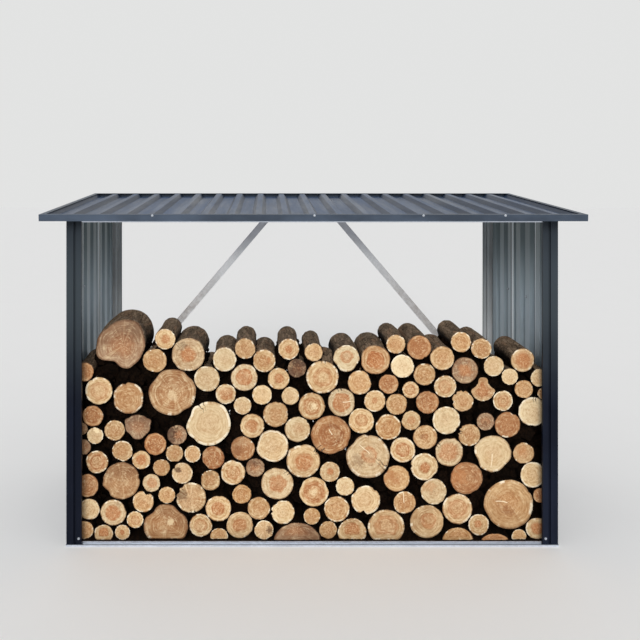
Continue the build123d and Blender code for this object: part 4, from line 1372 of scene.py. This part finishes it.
class LOGSTORE_OT_flakes(bpy.types.Operator):
    """Wedges flakes of bark in the gaps between the logs"""
    bl_idname = "logstore.flakes"
    bl_label = "Bark flakes"

    def execute(self, context):
        looks = context.scene.log_store_logs
        draws = random.Random(looks.seed + 2)
        logs = [measures(outline) for course in log_courses().values()
                for outline, front, rear in course]
        front = min(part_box(name)[0].y for name in named("log_course"))
        wall = inner_wall()
        gaps = gap_places(logs, wall)
        points, faces = [], []
        for nearest, deepest in FLAKE_LAYERS:
            for room, x, z in gaps:
                sides = draws.randint(6, 9)
                reach = room + draws.uniform(*FLAKE_OVERLAP)
                lean = [draws.uniform(-FLAKE_LEAN, FLAKE_LEAN) for way in range(2)]
                depth = front + draws.uniform(nearest, deepest)
                curl = draws.uniform(-FLAKE_CURL, FLAKE_CURL)
                start = len(points)
                for thick in (0.0, draws.uniform(*FLAKE_THICKNESS)):
                    for corner in range(sides):
                        angle = TAU * corner / sides
                        size = reach * draws.uniform(0.75, 1.2)
                        a, b = size * math.cos(angle), size * math.sin(angle)
                        bow = curl * (a * a + b * b) / reach
                        points.append((min(wall, max(-wall, x + a)),
                                       depth + thick + lean[0] * a + lean[1] * b + bow,
                                       max(GROUND, z + b)))
                faces += chip_faces(start, sides, foot=True)
        # Painted shade: the flakes take the bark's shaded tone, as they face no sky
        flakes = log_bark("bark_flakes", looks.bark_colour, looks.bark_shade_level)
        piece = new_piece("bark_flakes", points, faces, (flakes,), smooth=False)
        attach(piece, "root")
        return {"FINISHED"}


FLOOR_REACH = 30.0
SKY = (0.93, 0.94, 0.95)
BACKDROP = (0.765, 0.77, 0.765)
KEY_SOFTNESS = 28.0                 # degrees across
KEY_COLOUR = (1.0, 0.985, 0.96)
KEY_TOWARDS = (0.08, 0.87, -0.46)

# The camera looks straight ahead from left of the middle and above the roof, as in a picture
# whose upright and level edges stay so. The lens is in millimetres on its sensor.
EYE = (-0.207, -3.462, 1.704)
SENSOR = 36.0
LENS = 37.52
SHIFT = (0.0829, -0.2281)


class LOGSTORE_OT_stage(bpy.types.Operator):
    """Sets the floor, the light and the camera"""
    bl_idname = "logstore.stage"
    bl_label = "Floor, light and camera"

    def execute(self, context):
        looks = context.scene.log_store_stage
        scene = context.scene
        floor_sheet = Sheet("studio_floor")
        grit = floor_sheet.noise(floor_sheet.place(), 3.0)
        tone = floor_sheet.mix(grit, shaded(looks.floor_colour, 0.985), looks.floor_colour)
        material = floor_sheet.finish(Base_Color=tone, Roughness=0.9)
        corners = [(x * FLOOR_REACH, y * FLOOR_REACH, -0.0005)
                   for x, y in ((-1, -1), (1, -1), (1, 1), (-1, 1))]
        floor = new_piece("floor", corners, [(0, 1, 2, 3)], (material,), smooth=False)

        sky = Sheet("studio", world=True)
        path = sky.add("ShaderNodeLightPath").socket.node
        camera_ray, glossy_ray, clear_ray = (
            Wire(sky, path.outputs[f"Is {kind} Ray"]) for kind in ("Camera", "Glossy", "Transmission"))
        seen = (camera_ray + glossy_ray + clear_ray) > 0.5
        light_kind = "ShaderNodeBackground"
        lit = sky.add(light_kind, {}, {"Color": SKY, "Strength": looks.sky_strength})
        backdrop = sky.add(light_kind, {}, {"Color": BACKDROP, "Strength": 1.0})
        both = sky.add("ShaderNodeMixShader", {}, {0: seen, 1: lit, 2: backdrop})
        scene.world = sky.close("ShaderNodeOutputWorld", both)

        light = bpy.data.lights.new("key", "SUN")
        light.energy = looks.sun_strength
        light.angle = math.radians(KEY_SOFTNESS)
        light.color = KEY_COLOUR
        key = bpy.data.objects.new("key", light)
        scene.collection.objects.link(key)
        key.rotation_euler = Vector(KEY_TOWARDS).to_track_quat("-Z", "Y").to_euler()

        lens = bpy.data.cameras.new("camera")
        lens.sensor_width = SENSOR
        lens.lens = LENS
        lens.shift_x, lens.shift_y = SHIFT
        lens.clip_end = 200
        camera = bpy.data.objects.new("camera", lens)
        camera.location = EYE
        camera.rotation_euler = (math.radians(90), 0, 0)
        scene.collection.objects.link(camera)
        scene.camera = camera
        scene.view_settings.view_transform = "Standard"
        return {"FINISHED"}


OPERATORS = (
    LOGSTORE_OT_roof, LOGSTORE_OT_posts, LOGSTORE_OT_walls, LOGSTORE_OT_zinc,
    LOGSTORE_OT_screws, LOGSTORE_OT_logs, LOGSTORE_OT_crumbs, LOGSTORE_OT_flakes,
    LOGSTORE_OT_stage,
)


class LOGSTORE_PT_panel(bpy.types.Panel):
    """Lists the log store's pieces and looks"""
    bl_idname = "LOGSTORE_PT_panel"
    bl_label = "Log store"
    bl_space_type = "VIEW_3D"
    bl_region_type = "UI"
    bl_category = "Log store"

    def draw(self, context):
        for looks in ("log_store_steel", "log_store_logs", "log_store_stage"):
            group = getattr(context.scene, looks)
            box = self.layout.box()
            for key in group.__annotations__:
                box.prop(group, key)
        for operator in OPERATORS:
            self.layout.operator(operator.bl_idname)


CLASSES = (SteelLooks, LogLooks, StageLooks, *OPERATORS, LOGSTORE_PT_panel)


def register():
    for one in CLASSES:
        bpy.utils.register_class(one)
    bpy.types.Scene.log_store_steel = PointerProperty(type=SteelLooks)
    bpy.types.Scene.log_store_logs = PointerProperty(type=LogLooks)
    bpy.types.Scene.log_store_stage = PointerProperty(type=StageLooks)


def unregister():
    del bpy.types.Scene.log_store_stage
    del bpy.types.Scene.log_store_logs
    del bpy.types.Scene.log_store_steel
    for one in reversed(CLASSES):
        bpy.utils.unregister_class(one)


def main():
    register()
    bpy.ops.logstore.roof()
    bpy.ops.logstore.posts()
    bpy.ops.logstore.walls()
    bpy.ops.logstore.zinc()
    bpy.ops.logstore.screws()
    bpy.ops.logstore.logs()
    bpy.ops.logstore.crumbs()
    bpy.ops.logstore.flakes()
    bpy.ops.logstore.stage()


if __name__ == "__main__":
    main()
